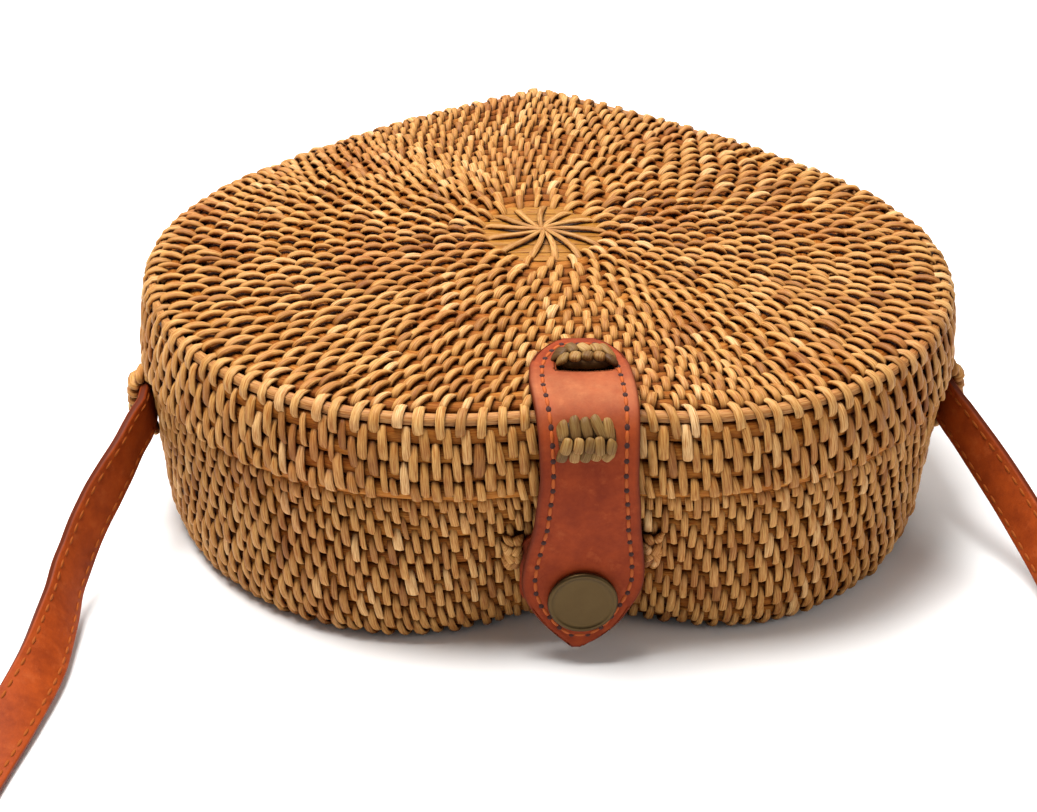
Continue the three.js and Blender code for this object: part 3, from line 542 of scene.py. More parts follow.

# Rim wraps: one row of broad strips of split rattan wound over the rim cane, from the top to the
# skirt. Painted highlight: coloured paler and brighter than the other strands, where light catches the rim.
rim_highlight_rattan = cane_material("rim_highlight_split_rattan", ["#ab7c46", "#c29252", "#d1a466", "#e4be8a"], 0.8)
rim_rows = [(90.2, 11.4, even(SKIRT_COUNT, 0.0), 1.2, 2.5, 1.1)]
sew("lid_rim_wraps", "lid", lid_skin, rim_rows, 18, rim_highlight_rattan)

# Base coils: the same peeled canes, laid in rings from the seam down the wall and over the
# underside. Two thin rings inside the seam make the lip that the lid closes over.
BASE_SIDE = 48.6
base_rows = []
for t, offset, z in (
    (0, 0.0, 47.1), (18.8, -1.9, 28.4), (35.3, -3.1, 11.9), (40.9, -4.2, 6.5), (44.6, -5.5, 3.0),
    (46.6, -6.9, 1.2), (BASE_SIDE, -8.9, 0.3),
):
    base_rows.append((t, heart_ring(offset, z)))
BOTTOM_RING = heart_ring(-8.9, 0.3)
BOTTOM = 88.0
for p in np.linspace(0.995, 0.03, 36):
    base_rows.append((BASE_SIDE + BOTTOM * (1 - p), disc_ring(BOTTOM_RING, p, 0.3)))
base_skin = skin(base_rows)
SIDE_PITCH = 4.5
side_coils = [2.2 + SIDE_PITCH * k for k in range(11)]
BOTTOM_PITCH = 4.6
bottom_coils = [BASE_SIDE + 2.0 + BOTTOM_PITCH * k for k in range(18)]
base_coil_rows = [(t, SIDE_PITCH, -2.25, 3.0) for t in side_coils]
base_coil_rows += [(t, BOTTOM_PITCH * 1.14, -2.7, 3.0) for t in bottom_coils]
base_coils = rods("base_coils", "base", base_skin, base_coil_rows, core_cane)
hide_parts("base_basket")

LIP_TOP, LIP_INSET = 57.0, 2.6
lip_skin = skin([(t, heart_ring(-LIP_INSET, LIP_TOP - t)) for t in (0.0, 5.0, 11.0)])
lip_canes = [(2.4, 5.2, -1.9, 2.2), (7.4, 5.6, -1.9, 2.2)]
rods("base_lip_canes", "base", lip_skin, lip_canes, core_cane)

# Base wall strands: the same split rattan, sewn down the wall in ten rows, each half a step
# beside the one above. A first short row is tucked in under the seam.
SIDE_COUNT = round(ring_length(base_skin, 20) / WALL_STEP)
side_rows = [(0.3, 4.4, even(SIDE_COUNT, 0.5), 0.6, 2.0, 1.2)]
for k in range(10):
    side_rows.append((0.5 + SIDE_PITCH * k, 8.2, even(SIDE_COUNT, 0.5 * (k % 2)), 0.7, 2.0, 1.3))
sew("base_wall_strands", "base", base_skin, side_rows, 13, split_rattan)

# Underside strands: the same strips sewn inwards from the edge to the middle of the underside.
# They are flatter and pressed in, because the bag stands on them.
under_starts = [BASE_SIDE + BOTTOM_PITCH * k + 1.0 for k in range(17)]
under_rows = [(begin, 8.0, places, 1.4, 2.4, 0.9)
              for begin, places in zip(under_starts, stagger(base_skin, under_starts, TOP_STEP, 4))]
sew("underside_strands", "base", base_skin, under_rows, 14, split_rattan, plain_strand, "long", 1, -0.7)

# Inner strands: the back of the sewing, seen inside the lid and the base when the bag is open.
# The same split rattan, with plainer and slightly broader stitches.
inner_rows = [(begin, TOP_PITCH + 3.0, places, -1.0, 2.3, 0.9)
              for begin, places in zip(top_starts[:-1], stagger(lid_skin, top_starts[:-1], TOP_STEP, 3))]
for k in range(3):
    inner_rows.append((99.5 + SKIRT_PITCH * k, 7.0, even(SKIRT_COUNT, 0.5 * (k % 2)), -1.0, 2.3, 0.9))
sew("lid_inner_strands", "lid", lid_skin, inner_rows, 15, split_rattan, plain_strand, "long", -1)
inner_base = [(1.0 + SIDE_PITCH * k, 8.0, even(SIDE_COUNT, 0.5 * (k % 2)), -1.0, 2.3, 0.9)
              for k in range(9)]
inner_places = stagger(base_skin, under_starts[1:], TOP_STEP, 4)
inner_base += [(begin, BOTTOM_PITCH + 3.0, places, -1.0, 2.3, 0.9)
               for begin, places in zip(under_starts[1:], inner_places)]
sew("base_inner_strands", "base", base_skin, inner_base, 16, split_rattan, plain_strand, "long", -1)

# Lip strands: two rows of thin split rattan wound over the lip's rings, half a step apart.
# They are thin enough for the lid to slide over.
LIP_COUNT = round(ring_length(lip_skin, 4) / SKIRT_STEP)
lip_rows = [(0.2, 5.6, even(LIP_COUNT, 0.0), 0.8, 2.2, 0.8),
            (3.4, 6.6, even(LIP_COUNT, 0.5), 0.8, 2.2, 0.8)]
sew("base_lip_strands", "base", lip_skin, lip_rows, 17, split_rattan, plain_strand, "long", 1, 0.2)

# Hub strips: seven flat strips of cane core side by side, which close the middle of the lid.
# Scraped flat and a little glossy, they shine warm gold between the strands that cross them.
STRIP = {"width": 4.6, "disc": 16.5, "thick": 1.4, "height": 69.75}
bm = bmesh.new()
for k in range(-3, 4):
    half = math.sqrt(max(STRIP["disc"] ** 2 - (k * STRIP["width"]) ** 2, 30))
    made = bmesh.ops.create_cube(bm, size=1)
    bmesh.ops.scale(bm, verts=made["verts"], vec=(2 * half, STRIP["width"] * 0.95, STRIP["thick"]))
    bmesh.ops.translate(bm, verts=made["verts"], vec=(*(HUB + (0, k * STRIP["width"])), STRIP["height"]))
bmesh.ops.bevel(bm, geom=bm.edges[:], offset=0.3, segments=2, profile=0.5, affect="EDGES", material=-1)
bm.verts.index_update()
strips = from_bmesh(bm)
hub_gold = cane_material("flat_golden_core", ["#9c6a22", "#ac7a2a"], 0.4)
copies("hub_core_strips", strips, strips["points"][None], strips["points"][None, :, :2],
       np.array([0.5]), "lid", hub_gold)

# Hub strands: thirteen strips of split rattan that cross at the middle of the lid like a star.
# They lift a little where they cross, and fan out to the first coil. Young and pale, they catch
# the light.
spokes = 13
u = strand["u"][None]
dice = np.random.default_rng(5)
turn_angle = (np.arange(spokes)[:, None] / spokes + dice.normal(0, 0.007, (spokes, 1))) * 2 * math.pi
reach = -1.2 + u * (18.6 + dice.normal(0, 1.0, (spokes, 1)))
bend = 1.1 * np.sin(math.pi * u) + strand["across"] * (1.2 + 1.0 * u)
rise = 70.9 + 0.5 * (1 - u) ** 1.5 + 0.35 * np.sin(math.pi * u) - 1.5 * np.clip(u - 0.82, 0, 1) * 5
rise = rise + strand["out"] * 1.0 + 0.25 * np.sin(np.arange(spokes) * 2.4)[:, None] * (1 - u)
radial = np.stack([np.cos(turn_angle), np.sin(turn_angle)], -1)
side_way = np.stack([-np.sin(turn_angle), np.cos(turn_angle)], -1)
flat = HUB + radial * reach[..., None] + side_way * bend[..., None]
spoke_points = np.concatenate([flat, rise[..., None]], -1)
spoke_uv = np.stack([u * 19 + turn_angle * 40, np.broadcast_to(bend, reach.shape)], -1)
pale_rattan = cane_material("pale_split_rattan", ["#a97c44", "#ba8c50", "#c4985c"], 0.35)
copies("hub_strands", strand, spoke_points, spoke_uv, dice.random(spokes), "lid", pale_rattan)

# Closure flap: one piece of reddish-tan leather, tied at the rim and hanging down the front.
# The edge is rounded and burnished, a groove for the stitches runs round it, and two slots let
# the lashings through. The path is its section; the widths are distance, left and right edge.
FLAP_PATH = (
    (-67.2, 72.8), (-76, 72.6), (-86, 72.4), (-92.4, 71.9), (-97.2, 70), (-99.9, 66), (-100.7, 59.4),
    (-100.8, 51.4), (-100, 43), (-98.6, 34), (-98, 28), (-97.9, 20), (-97.9, 12), (-97.8, 4.2),
)
FLAP_WIDTHS = (
    (0, -3.5, 2.5), (1.2, -6, 5), (3.6, -8.6, 7.6), (7.5, -11.4, 9.8), (12, -13, 11), (20, -13.4, 11.6),
    (28, -12.6, 11.8), (36, -11.7, 11.7), (47, -11.1, 11.9), (54, -11.7, 12.7), (61, -12.2, 13.2),
    (68, -13.5, 14.2), (73.5, -14.4, 14.8), (78, -14.8, 14.8), (81.5, -14.2, 13.8), (85, -12.7, 11.9),
    (88, -10.7, 10.3), (91, -8.3, 8.1), (93.4, -6.0, 5.5), (95.4, -3.8, 2.6), (97, -1.6, -0.9),
    (99, -1.3, -1.2),
)
FLAP_END = 97.0
FLAP_SLOTS = ((12.2, 0.3, 13.6, 5.4), (35.8, -0.7, 11.0, 5.0))


def distances(points):
    """Distance of each point along the line through them."""
    return np.r_[0, np.cumsum(np.linalg.norm(np.diff(points, axis=0), axis=1))]


def smooth_path(points, count):
    """Centripetal spline through the points, sampled at equal distances."""
    p = np.array(points, float)
    p = np.vstack([2 * p[0] - p[1], p, 2 * p[-1] - p[-2]])
    knot = np.r_[0, np.cumsum(np.linalg.norm(np.diff(p, axis=0), axis=1) ** 0.5)]
    out = []
    for i in range(1, len(p) - 2):
        k0, k1, k2, k3 = knot[i - 1:i + 3]
        t = np.linspace(k1, k2, 24, endpoint=i == len(p) - 3)[:, None]
        a1 = (k1 - t) / (k1 - k0) * p[i - 1] + (t - k0) / (k1 - k0) * p[i]
        a2 = (k2 - t) / (k2 - k1) * p[i] + (t - k1) / (k2 - k1) * p[i + 1]
        a3 = (k3 - t) / (k3 - k2) * p[i + 1] + (t - k2) / (k3 - k2) * p[i + 2]
        b1 = (k2 - t) / (k2 - k0) * a1 + (t - k0) / (k2 - k0) * a2
        b2 = (k3 - t) / (k3 - k1) * a2 + (t - k1) / (k3 - k1) * a3
        out.append((k2 - t) / (k2 - k1) * b1 + (t - k1) / (k2 - k1) * b2)
    fine = np.vstack(out)
    run = distances(fine)
    at = np.linspace(0, run[-1], count)
    return np.stack([np.interp(at, run, fine[:, i]) for i in range(fine.shape[1])], 1), run[-1]


flap_line, flap_length = smooth_path(FLAP_PATH, 400)
flap_tangent = np.gradient(flap_line, axis=0)
flap_tangent /= np.linalg.norm(flap_tangent, axis=1, keepdims=True)


def on_flap(x, distance, height):
    """Points on the flap: place across, distance from its top end, height over its middle."""
    at = np.clip(np.asarray(distance) / flap_length, 0, 1) * (len(flap_line) - 1)
    steps = np.arange(len(flap_line))
    y, z = (np.interp(at, steps, flap_line[:, i]) for i in (0, 1))
    ty, tz = (np.interp(at, steps, flap_tangent[:, i]) for i in (0, 1))
    beyond = np.asarray(distance) - np.clip(distance, 0, flap_length)
    return np.stack([x, y + ty * beyond + tz * height, z + tz * beyond - ty * height], -1)


def flap_edge(distance, column):
    """Half width of the flap at a distance, rounded at both ends."""
    table = np.array(FLAP_WIDTHS, float)
    near = np.asarray(distance)[..., None] + np.linspace(-1.6, 1.6, 9)
    return np.interp(near, table[:, 0], table[:, column]).mean(-1)


def leather_material(name, colours, scuff, gloss):
    """Leather: pores 0.7 mm apart, creases of 5 mm, clouds of 8 mm in the dye, lighter scuffs, a
    faded patch where it is bent and a darker burnished edge."""
    made, tree, shader = material(name)
    place = shade(tree, "ShaderNodeTexCoord", {}, {})
    edge = shade(tree, "ShaderNodeAttribute", {"attribute_name": "edge"}, {})
    pores = shade(tree, "ShaderNodeTexVoronoi", {"Scale": 1500}, {"Vector": place.outputs["Object"]})
    cloud = shade(tree, "ShaderNodeTexNoise", {"Scale": 130, "Detail": 6, "Roughness": 0.7},
                  {"Vector": place.outputs["Object"]})
    rub = shade(tree, "ShaderNodeTexNoise", {"Scale": 210, "Detail": 6, "Roughness": 0.7},
                {"Vector": place.outputs["Object"]})
    ramp = shade(tree, "ShaderNodeValToRGB", {}, {"Fac": cloud.outputs["Fac"]})
    ramp.color_ramp.elements[0].position, ramp.color_ramp.elements[1].position = 0.35, 0.68
    ramp.color_ramp.elements[0].color = linear(colours[0])
    ramp.color_ramp.elements[1].color = linear(colours[1])
    worn = shade(tree, "ShaderNodeMapRange", {"From Min": 0.55, "From Max": 0.75, "To Max": scuff},
                 {"Value": rub.outputs["Fac"]})
    scuffed = shade(tree, "ShaderNodeMix", {"data_type": "RGBA", 7: linear(colours[2])},
                    {0: worn.outputs["Result"], 6: ramp.outputs["Color"]})
    wear = shade(tree, "ShaderNodeAttribute", {"attribute_name": "wear"}, {})
    rubbed = shade(tree, "ShaderNodeMath", {"operation": "MULTIPLY"},
                   {0: wear.outputs["Fac"], 1: rub.outputs["Fac"]})
    faded = shade(tree, "ShaderNodeMix", {"data_type": "RGBA", 7: linear(colours[4])},
                  {0: rubbed.outputs["Value"], 6: scuffed.outputs[2]})
    burnt = shade(tree, "ShaderNodeMix", {"data_type": "RGBA", 7: linear(colours[3])},
                  {0: edge.outputs["Fac"], 6: faded.outputs[2]})
    shader.inputs["Specular IOR Level"].default_value = 0.12
    tree.links.new(burnt.outputs[2], shader.inputs["Base Color"])
    soft = shade(tree, "ShaderNodeMapRange", {"To Min": gloss - 0.08, "To Max": gloss + 0.14},
                 {"Value": rub.outputs["Fac"]})
    tree.links.new(soft.outputs["Result"], shader.inputs["Roughness"])
    fine = shade(tree, "ShaderNodeBump", {"Strength": 0.25, "Distance": 0.00008},
                 {"Height": pores.outputs["Distance"]})
    crease = shade(tree, "ShaderNodeBump", {"Strength": 0.35, "Distance": 0.0003},
                   {"Height": rub.outputs["Fac"], "Normal": fine.outputs["Normal"]})
    tree.links.new(crease.outputs["Normal"], shader.inputs["Normal"])
    return made


def solid(name, bm, body, finish):
    """A piece from a whole smooth mesh, with its faces outwards."""
    bmesh.ops.recalc_face_normals(bm, faces=bm.faces)
    if bm.calc_volume(signed=True) < 0:
        bmesh.ops.reverse_faces(bm, faces=bm.faces)
    for f in bm.faces:
        f.smooth = True
    data = bpy.data.meshes.new(name)
    bm.to_mesh(data)
    bm.free()
    return link(name, data, body, finish)


def edge_values(piece, edge, wear):
    """Stores how far each vertex belongs to the cut edge of the leather and how worn it is."""
    for name, field in (("edge", edge), ("wear", wear)):
        layer = piece.data.attributes.new(name, "FLOAT", "POINT")
        layer.data.foreach_set("value", np.asarray(field, np.float32))


LEATHER, GROOVE_IN = 2.3, 3.1
bm = bmesh.new()
bmesh.ops.create_grid(bm, x_segments=36, y_segments=130, size=0.5)
for v in bm.verts:
    d = (v.co.y + 0.5) * FLAP_END
    left, right = float(flap_edge(d, 1)), float(flap_edge(d, 2))
    v.co = Vector((left + (right - left) * (v.co.x + 0.5), d, 0))
for at, x, width, height in FLAP_SLOTS:
    for place, way in (
        ((x - width / 2, 0, 0), (1, 0, 0)), ((x + width / 2, 0, 0), (1, 0, 0)),
        ((0, at - height / 2, 0), (0, 1, 0)), ((0, at + height / 2, 0), (0, 1, 0)),
    ):
        bmesh.ops.bisect_plane(bm, geom=bm.verts[:] + bm.edges[:] + bm.faces[:], plane_co=place,
                               plane_no=way, dist=1e-4)
    inside = [f for f in bm.faces if abs(f.calc_center_median().x - x) < width / 2
              and abs(f.calc_center_median().y - at) < height / 2]
    bmesh.ops.delete(bm, geom=inside, context="FACES")
bmesh.ops.solidify(bm, geom=bm.faces[:], thickness=LEATHER)
bmesh.ops.recalc_face_normals(bm, faces=bm.faces)
sharp = [e for e in bm.edges if len(e.link_faces) == 2 and e.calc_face_angle(0) > 1.0]
bmesh.ops.bevel(bm, geom=sharp, offset=0.62, segments=3, profile=0.5, affect="EDGES", material=-1)
bm.verts.index_update()
flat = np.array([v.co for v in bm.verts])
# The lashing pulls the lower edge of the upper slot down in a shallow arc.
pull = np.exp(-((flat[:, 1] - 14.9) / 1.6) ** 2) * np.clip(1 - (flat[:, 0] / 7.4) ** 2, 0, 1)
flat[:, 1] += 0.9 * pull
half_left, half_right = flap_edge(flat[:, 1], 1), flap_edge(flat[:, 1], 2)
reach = np.minimum(flat[:, 0] - half_left, half_right - flat[:, 0])
near_end = np.minimum(flat[:, 1], FLAP_END - flat[:, 1])
edge_share = np.clip(1 - np.minimum(reach, near_end) / 1.0, 0, 1)
rise = flat[:, 2] - (flat[:, 2].min() + flat[:, 2].max()) / 2
groove = np.exp(-((np.minimum(reach, near_end) - GROOVE_IN) / 0.75) ** 2)
rise -= 0.28 * groove * (rise > 0)
bent = on_flap(flat[:, 0], flat[:, 1], rise)
for v, p in zip(bm.verts, bent):
    v.co = Vector(p) * 0.001
# Waxed leather: a low sheen on deep red tan, dry and paler where it is bent over the rim.
flap_leather = leather_material(
    "waxed_red_tan_leather", ["#752709", "#903813", "#a9532c", "#541d08", "#b5744c"], 0.5, 0.6)
flap = solid("closure_flap_leather", bm, "lid", flap_leather)
edge_values(flap, edge_share, 0.8 * np.exp(-((flat[:, 1] - 23) / 9) ** 2))
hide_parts("closure_flap")

# Flap stitching: waxed thread in a saddle stitch, pulled into the leather at the ends of each
# stitch, where round punched holes show. The thread is dull orange, the holes almost black.
thread, _, thread_shader = material("waxed_orange_thread")
thread_shader.inputs["Base Color"].default_value = linear("#a54f20")
thread_shader.inputs["Roughness"].default_value = 0.65
thread_shader.inputs["Specular IOR Level"].default_value = 0.15
hole, _, hole_shader = material("punched_hole_shadow")
hole_shader.inputs["Base Color"].default_value = linear("#35120a")
hole_shader.inputs["Roughness"].default_value = 0.9


def stitch_line(path, gap):
    """Stitch ends at equal distances along a closed or open line of points."""
    run = distances(path)
    count = max(round(run[-1] / gap), 2)
    at = np.linspace(0, run[-1], count + 1)
    return np.stack([np.interp(at, run, path[:, i]) for i in range(path.shape[1])], 1)


def bead_template():
    """Short closed thread along z with rounded ends."""
    bm = bmesh.new()
    bmesh.ops.create_uvsphere(bm, u_segments=6, v_segments=6, radius=0.5)
    bm.verts.index_update()
    return from_bmesh(bm)


bead = bead_template()
fine_d = np.linspace(2.9, 93.0, 300)
left_side = np.c_[flap_edge(fine_d, 1) + GROOVE_IN, fine_d]
right_side = np.c_[flap_edge(fine_d, 2) - GROOVE_IN, fine_d]
keep_left, keep_right = left_side[:, 0] < -1.8, right_side[:, 0] > -1.6
stitch_path = np.vstack([left_side[keep_left], right_side[keep_right][::-1]])
stitch_path = np.vstack([stitch_path, stitch_path[:1]])
STITCH, HOLE = 3.95, 1.45
ends = stitch_line(stitch_path, STITCH)
middles = (ends[:-1] + ends[1:]) / 2
ways = ends[1:] - ends[:-1]
lengths = np.linalg.norm(ways, axis=1)
ways /= lengths[:, None]
local = bead["points"]
long_part = local[None, :, 2] * lengths[:, None] * 0.7
wide_part = local[None, :, 0] * 1.05
x = middles[:, None, 0] + ways[:, None, 0] * long_part - ways[:, None, 1] * wide_part
d = middles[:, None, 1] + ways[:, None, 1] * long_part + ways[:, None, 0] * wide_part
h = LEATHER / 2 - 0.22 + local[None, :, 1] * 0.8
stitch_points = on_flap(x, d, np.broadcast_to(h, x.shape))
stitch_uv = np.stack([long_part, np.broadcast_to(wide_part, long_part.shape)], -1)
copies("flap_stitches", bead, stitch_points, stitch_uv, np.zeros(len(middles)),
       "lid", thread)
x = ends[:-1, None, 0] + local[None, :, 0] * HOLE
d = ends[:-1, None, 1] + local[None, :, 2] * HOLE
h = LEATHER / 2 - 0.24 + local[None, :, 1] * 0.5
hole_points = on_flap(x, d, np.broadcast_to(h, x.shape))
copies("flap_stitch_holes", bead, hole_points, np.stack([x, d], -1), np.zeros(len(x)),
       "lid", hole)

# Flap lashings: split rattan plaited over a short bar, standing in the slots of the flap.
# Long leaning strands frame a row of round knots, and the ends turn down into the slot.
# Each row holds its place up the tie, strand length, width, lean and lift.
TWO_ROWS = ((-0.2, 4.2, 1.1, 0.5, 0.4), (0.26, 3.3, 1.1, -0.45, 0.2))
THREE_ROWS = ((-0.27, 4.6, 1.02, 0.42, 0.1), (0.1, 3.2, 1.0, -0.12, 0.7), (0.36, 3.4, 1.04, -0.4, 0.1))


def knot_template():
    """Short cane end along z with flat sides and blunt ends."""
    bm = bmesh.new()
    bmesh.ops.create_uvsphere(bm, u_segments=12, v_segments=10, radius=0.5)
    bm.verts.index_update()
    shape = from_bmesh(bm)
    reach = np.abs(2 * shape["points"])
    shape["points"] = 0.5 * np.sign(shape["points"]) * reach ** [0.75, 0.8, 0.62]
    return shape


knot = knot_template()


def lashing(name, rows, columns, width, height, crown, mapper, body, node, seed, finish):
    """Plaited tie of knots in rows and columns over a bar, bent by the mapper to its place."""
    dice = np.random.default_rng(seed)
    shape = knot["points"]
    points, uvs = [], []
    for r, (level, long, wide, lean, lift) in enumerate(rows):
        for c in range(columns):
            cx = -width / 2 + width * (c + 0.5 + 0.22 * ((r % 2) - 0.5)) / columns
            cy = height * level
            a = shape[:, 2] * (long + dice.normal(0, 0.35))
            b = shape[:, 0] * wide * width / columns
            tilt = lean + dice.normal(0, 0.16)
            px = cx + a * math.sin(tilt) + b * math.cos(tilt) + dice.normal(0, 0.1)
            py = cy + a * math.cos(tilt) - b * math.sin(tilt) + dice.normal(0, 0.1)
            fall = np.clip(np.abs(px) / (width / 2), 0, 1.2) ** 4
            arch = crown * (1 - 0.55 * (2 * level) ** 2) * (1 - 0.5 * fall) + lift
            points.append(mapper(px, py + 0.8 * fall, arch - 0.9 + shape[:, 1] * 2.0))
            uvs.append(np.stack([a + 13 * c + 7 * r, b], -1))
    points.append(mapper(shape[:, 0] * width * 1.02, shape[:, 2] * height * 0.95,
                         crown * 0.1 + shape[:, 1] * crown * 1.1))
    uvs.append(np.stack([shape[:, 0] * width, shape[:, 2] * height], -1))
    tones = np.r_[dice.random(len(points) - 1), 0.0]
    made = copies(name, knot, np.array(points), np.array(uvs), tones, body, finish)
    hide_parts(node)


# Lashing rattan: dry, unvarnished strips, dull and greener than the weave.
lash_cane = cane_material("pale_lashing_rattan", ["#5c4222", "#7d6032", "#977642", "#ae8c56"], 0.35)
for name, node, (at, x0, width, height), rows, columns, crown, seed in (
    ("flap_top_plait", "flap_lashing_top", (10.6, 0.4, 14.2, 6.0), TWO_ROWS, 5, 3.4, 21),
    ("flap_front_plait", "flap_lashing_front", (35.6, -0.6, 13.2, 8.2), THREE_ROWS, 5, 2.9, 22),
):
    lashing(name, rows, columns, width, height, crown,
            lambda px, py, ph, at=at, x0=x0: on_flap(x0 + px, at + py, ph + LEATHER / 2 - 0.2),
            "lid", node, seed, lash_cane)

# Stud tab: a plate of the flap's leather with round corners, which follows the wall behind the
# flap and carries the stud. It is tied to the wall at both sides.
TAB_THICK, TAB_CORNER = 1.8, 4.2
tab_low, tab_high = (np.array(c) * 1000 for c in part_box("stud_tab"))
bm = bmesh.new()
bmesh.ops.create_cube(bm, size=1)
size = tab_high - tab_low
bmesh.ops.scale(bm, verts=bm.verts, vec=(size[0], TAB_THICK, size[2]))
corners = [e for e in bm.edges if abs(e.verts[0].co.y - e.verts[1].co.y) > 1]
bmesh.ops.bevel(bm, geom=corners, offset=TAB_CORNER, segments=5, profile=0.5, affect="EDGES", material=-1)
sharp = [e for e in bm.edges if e.calc_face_angle(0) > 0.7]
bmesh.ops.bevel(bm, geom=sharp, offset=0.4, segments=2, profile=0.5, affect="EDGES", material=-1)
tab_nodes = np.array([v.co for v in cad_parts["stud_tab"].data.vertices]) * 1000
for v in bm.verts:
    z = v.co.z + (tab_low[2] + tab_high[2]) / 2
    fronts = tab_nodes[np.abs(tab_nodes[:, 2] - z) < 4.0]
    v.co = Vector((v.co.x + (tab_low[0] + tab_high[0]) / 2, v.co.y + np.median(fronts[:, 1]), z)) * 0.001
tab = solid("stud_tab_leather", bm, "base", flap_leather)
plain = np.zeros(len(tab.data.vertices))
edge_values(tab, plain, plain)
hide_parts("stud_tab")

# Tab lashings: the same plait of split rattan, in four short rows, standing upright at the two
# sides of the tab. It grips the tab's edge and goes through the wall.
UPRIGHT_ROWS = ((-0.36, 3.0, 1.1, 0.5, 0.0), (-0.12, 2.9, 1.1, -0.5, 0.3), (0.12, 2.9, 1.1, 0.5, 0.3),
                (0.36, 3.0, 1.1, -0.5, 0.0))
for way, seed in (("left", 31), ("right", 32)):
    node = "tab_lashing_" + way
    low, high = (np.array(c) * 1000 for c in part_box(node))
    centre, span = (low + high) / 2, high - low
    lashing("tab_plait_" + way, UPRIGHT_ROWS, 2, span[0] * 1.35, span[2], span[1] * 0.9,
            lambda px, py, ph, c=centre, b=high[1]: np.stack([c[0] + px, b - ph - 0.3, c[2] + py], -1),
            "base", node, seed, split_rattan)

# Snap: a pressed brass cap with a thin raised rim, its socket behind the flap and its stud on the
# tab. The rivets of the strap are the same brass. Aged brass is dull olive brown, in clouds of
# 6 mm, with soft broad reflections that brighten on the rim.
aged_brass, brass_tree, brass_shader = material("aged_olive_brass")
brass_shader.inputs["Metallic"].default_value = 1.0
brass_place = shade(brass_tree, "ShaderNodeTexCoord", {}, {})
brass_cloud = shade(brass_tree, "ShaderNodeTexNoise", {"Scale": 160, "Detail": 5, "Roughness": 0.65},
                    {"Vector": brass_place.outputs["Object"]})
brass_ramp = shade(brass_tree, "ShaderNodeValToRGB", {}, {"Fac": brass_cloud.outputs["Fac"]})
brass_ramp.color_ramp.elements[0].color = linear("#40321f")
brass_ramp.color_ramp.elements[1].color = linear("#58472e")
brass_tree.links.new(brass_ramp.outputs["Color"], brass_shader.inputs["Base Color"])
brass_rough = shade(brass_tree, "ShaderNodeMapRange", {"To Min": 0.3, "To Max": 0.55},
                    {"Value": brass_cloud.outputs["Fac"]})
brass_tree.links.new(brass_rough.outputs["Result"], brass_shader.inputs["Roughness"])


def finish_nodes(nodes, finish):
    """Gives solids that show as they are their material."""
    for node in nodes:
        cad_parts[node].data.materials.clear()
        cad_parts[node].data.materials.append(finish)


CAP_PROFILE = (
    (0, 0), (8.0, 0), (8.5, 0.35), (8.55, 0.8), (8.4, 1.25), (8.05, 1.5), (7.7, 1.52), (7.35, 1.35),
    (7.2, 1.2), (6.2, 1.28), (3.0, 1.4), (0, 1.42),
)
cap_low, cap_high = (np.array(c) * 1000 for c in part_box("snap_cap"))
bm = bmesh.new()
verts = [bm.verts.new((r, 0, h)) for r, h in CAP_PROFILE]
for a, b in zip(verts, verts[1:]):
    bm.edges.new((a, b))
bmesh.ops.spin(bm, geom=bm.verts[:] + bm.edges[:], cent=(0, 0, 0), axis=(0, 0, 1),
               angle=2 * math.pi, steps=64, use_merge=True)
bmesh.ops.remove_doubles(bm, verts=bm.verts, dist=1e-5)
to_front = Vector((0, 0, 1)).rotation_difference(Vector((0, -1, 0))).to_matrix().to_4x4()
to_wall = Matrix.Translation((0, cap_high[1], (cap_low[2] + cap_high[2]) / 2))
bmesh.ops.transform(bm, matrix=to_wall @ to_front, verts=bm.verts)
bmesh.ops.scale(bm, vec=(0.001, 0.001, 0.001), verts=bm.verts)
cap = solid("snap_cap_brass", bm, "lid", aged_brass)
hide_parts("snap_cap")
finish_nodes(("snap_socket", "snap_stud", "strap_rivet_left", "strap_rivet_right"), aged_brass)

# Ears: short hoops of cane wrapped ten times in split rattan, one fixed through each side wall.
# The strap passes through them. The lowest wrap is thin, where it goes into the wall.
wraps = 10
local = bead["points"]
for side, way in ((-1, "left"), (1, "right")):
    low, high = (np.array(c) * 1000 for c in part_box("ear_" + way))
    y0, y1 = low[1], high[1]
    z_mid, z_half = (low[2] + high[2]) / 2, (high[2] - low[2]) / 2 - 1.2
    inner = high[0] if side < 0 else low[0]
    outer = (low[0] if side < 0 else high[0]) - side * 1.9
    angle = np.linspace(-math.pi / 2, math.pi / 2, 60)
    bow_x = inner + (outer - inner) * np.abs(np.cos(angle)) ** 0.45
    bow_z = z_mid + z_half * np.sign(np.sin(angle)) * np.abs(np.sin(angle)) ** 0.45
    bow = np.c_[bow_x, bow_z]
    run = distances(bow)
    points, uvs = [], []
    for k in range(wraps):
        at = run[-1] * (k + 0.5) / wraps
        x, z = np.interp(at, run, bow[:, 0]), np.interp(at, run, bow[:, 1])
        ax, az = (np.interp(at + 0.5, run, bow[:, i]) - np.interp(at - 0.5, run, bow[:, i]) for i in (0, 1))
        size = math.hypot(ax, az) or 1
        ax, az = ax / size, az / size
        wide, deep = local[:, 0] * run[-1] / wraps * 1.15, local[:, 1] * (4.4 if k else 2.0)
        skew = local[:, 2] * 1.2
        px = x + ax * (wide + skew) + az * deep
        pz = z + az * (wide + skew) - ax * deep
        py = (y0 + y1) / 2 + np.sign(local[:, 2]) * np.abs(local[:, 2] * 2) ** 0.6 * (y1 - y0) / 2
        points.append(np.stack([px, py, pz], -1))
        uvs.append(np.stack([py + 17 * k, wide], -1))
    ear = copies("ear_wraps_" + way, bead, np.array(points), np.array(uvs),
                 np.random.default_rng(41).random(wraps), "base", split_rattan)
    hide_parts("ear_" + way)

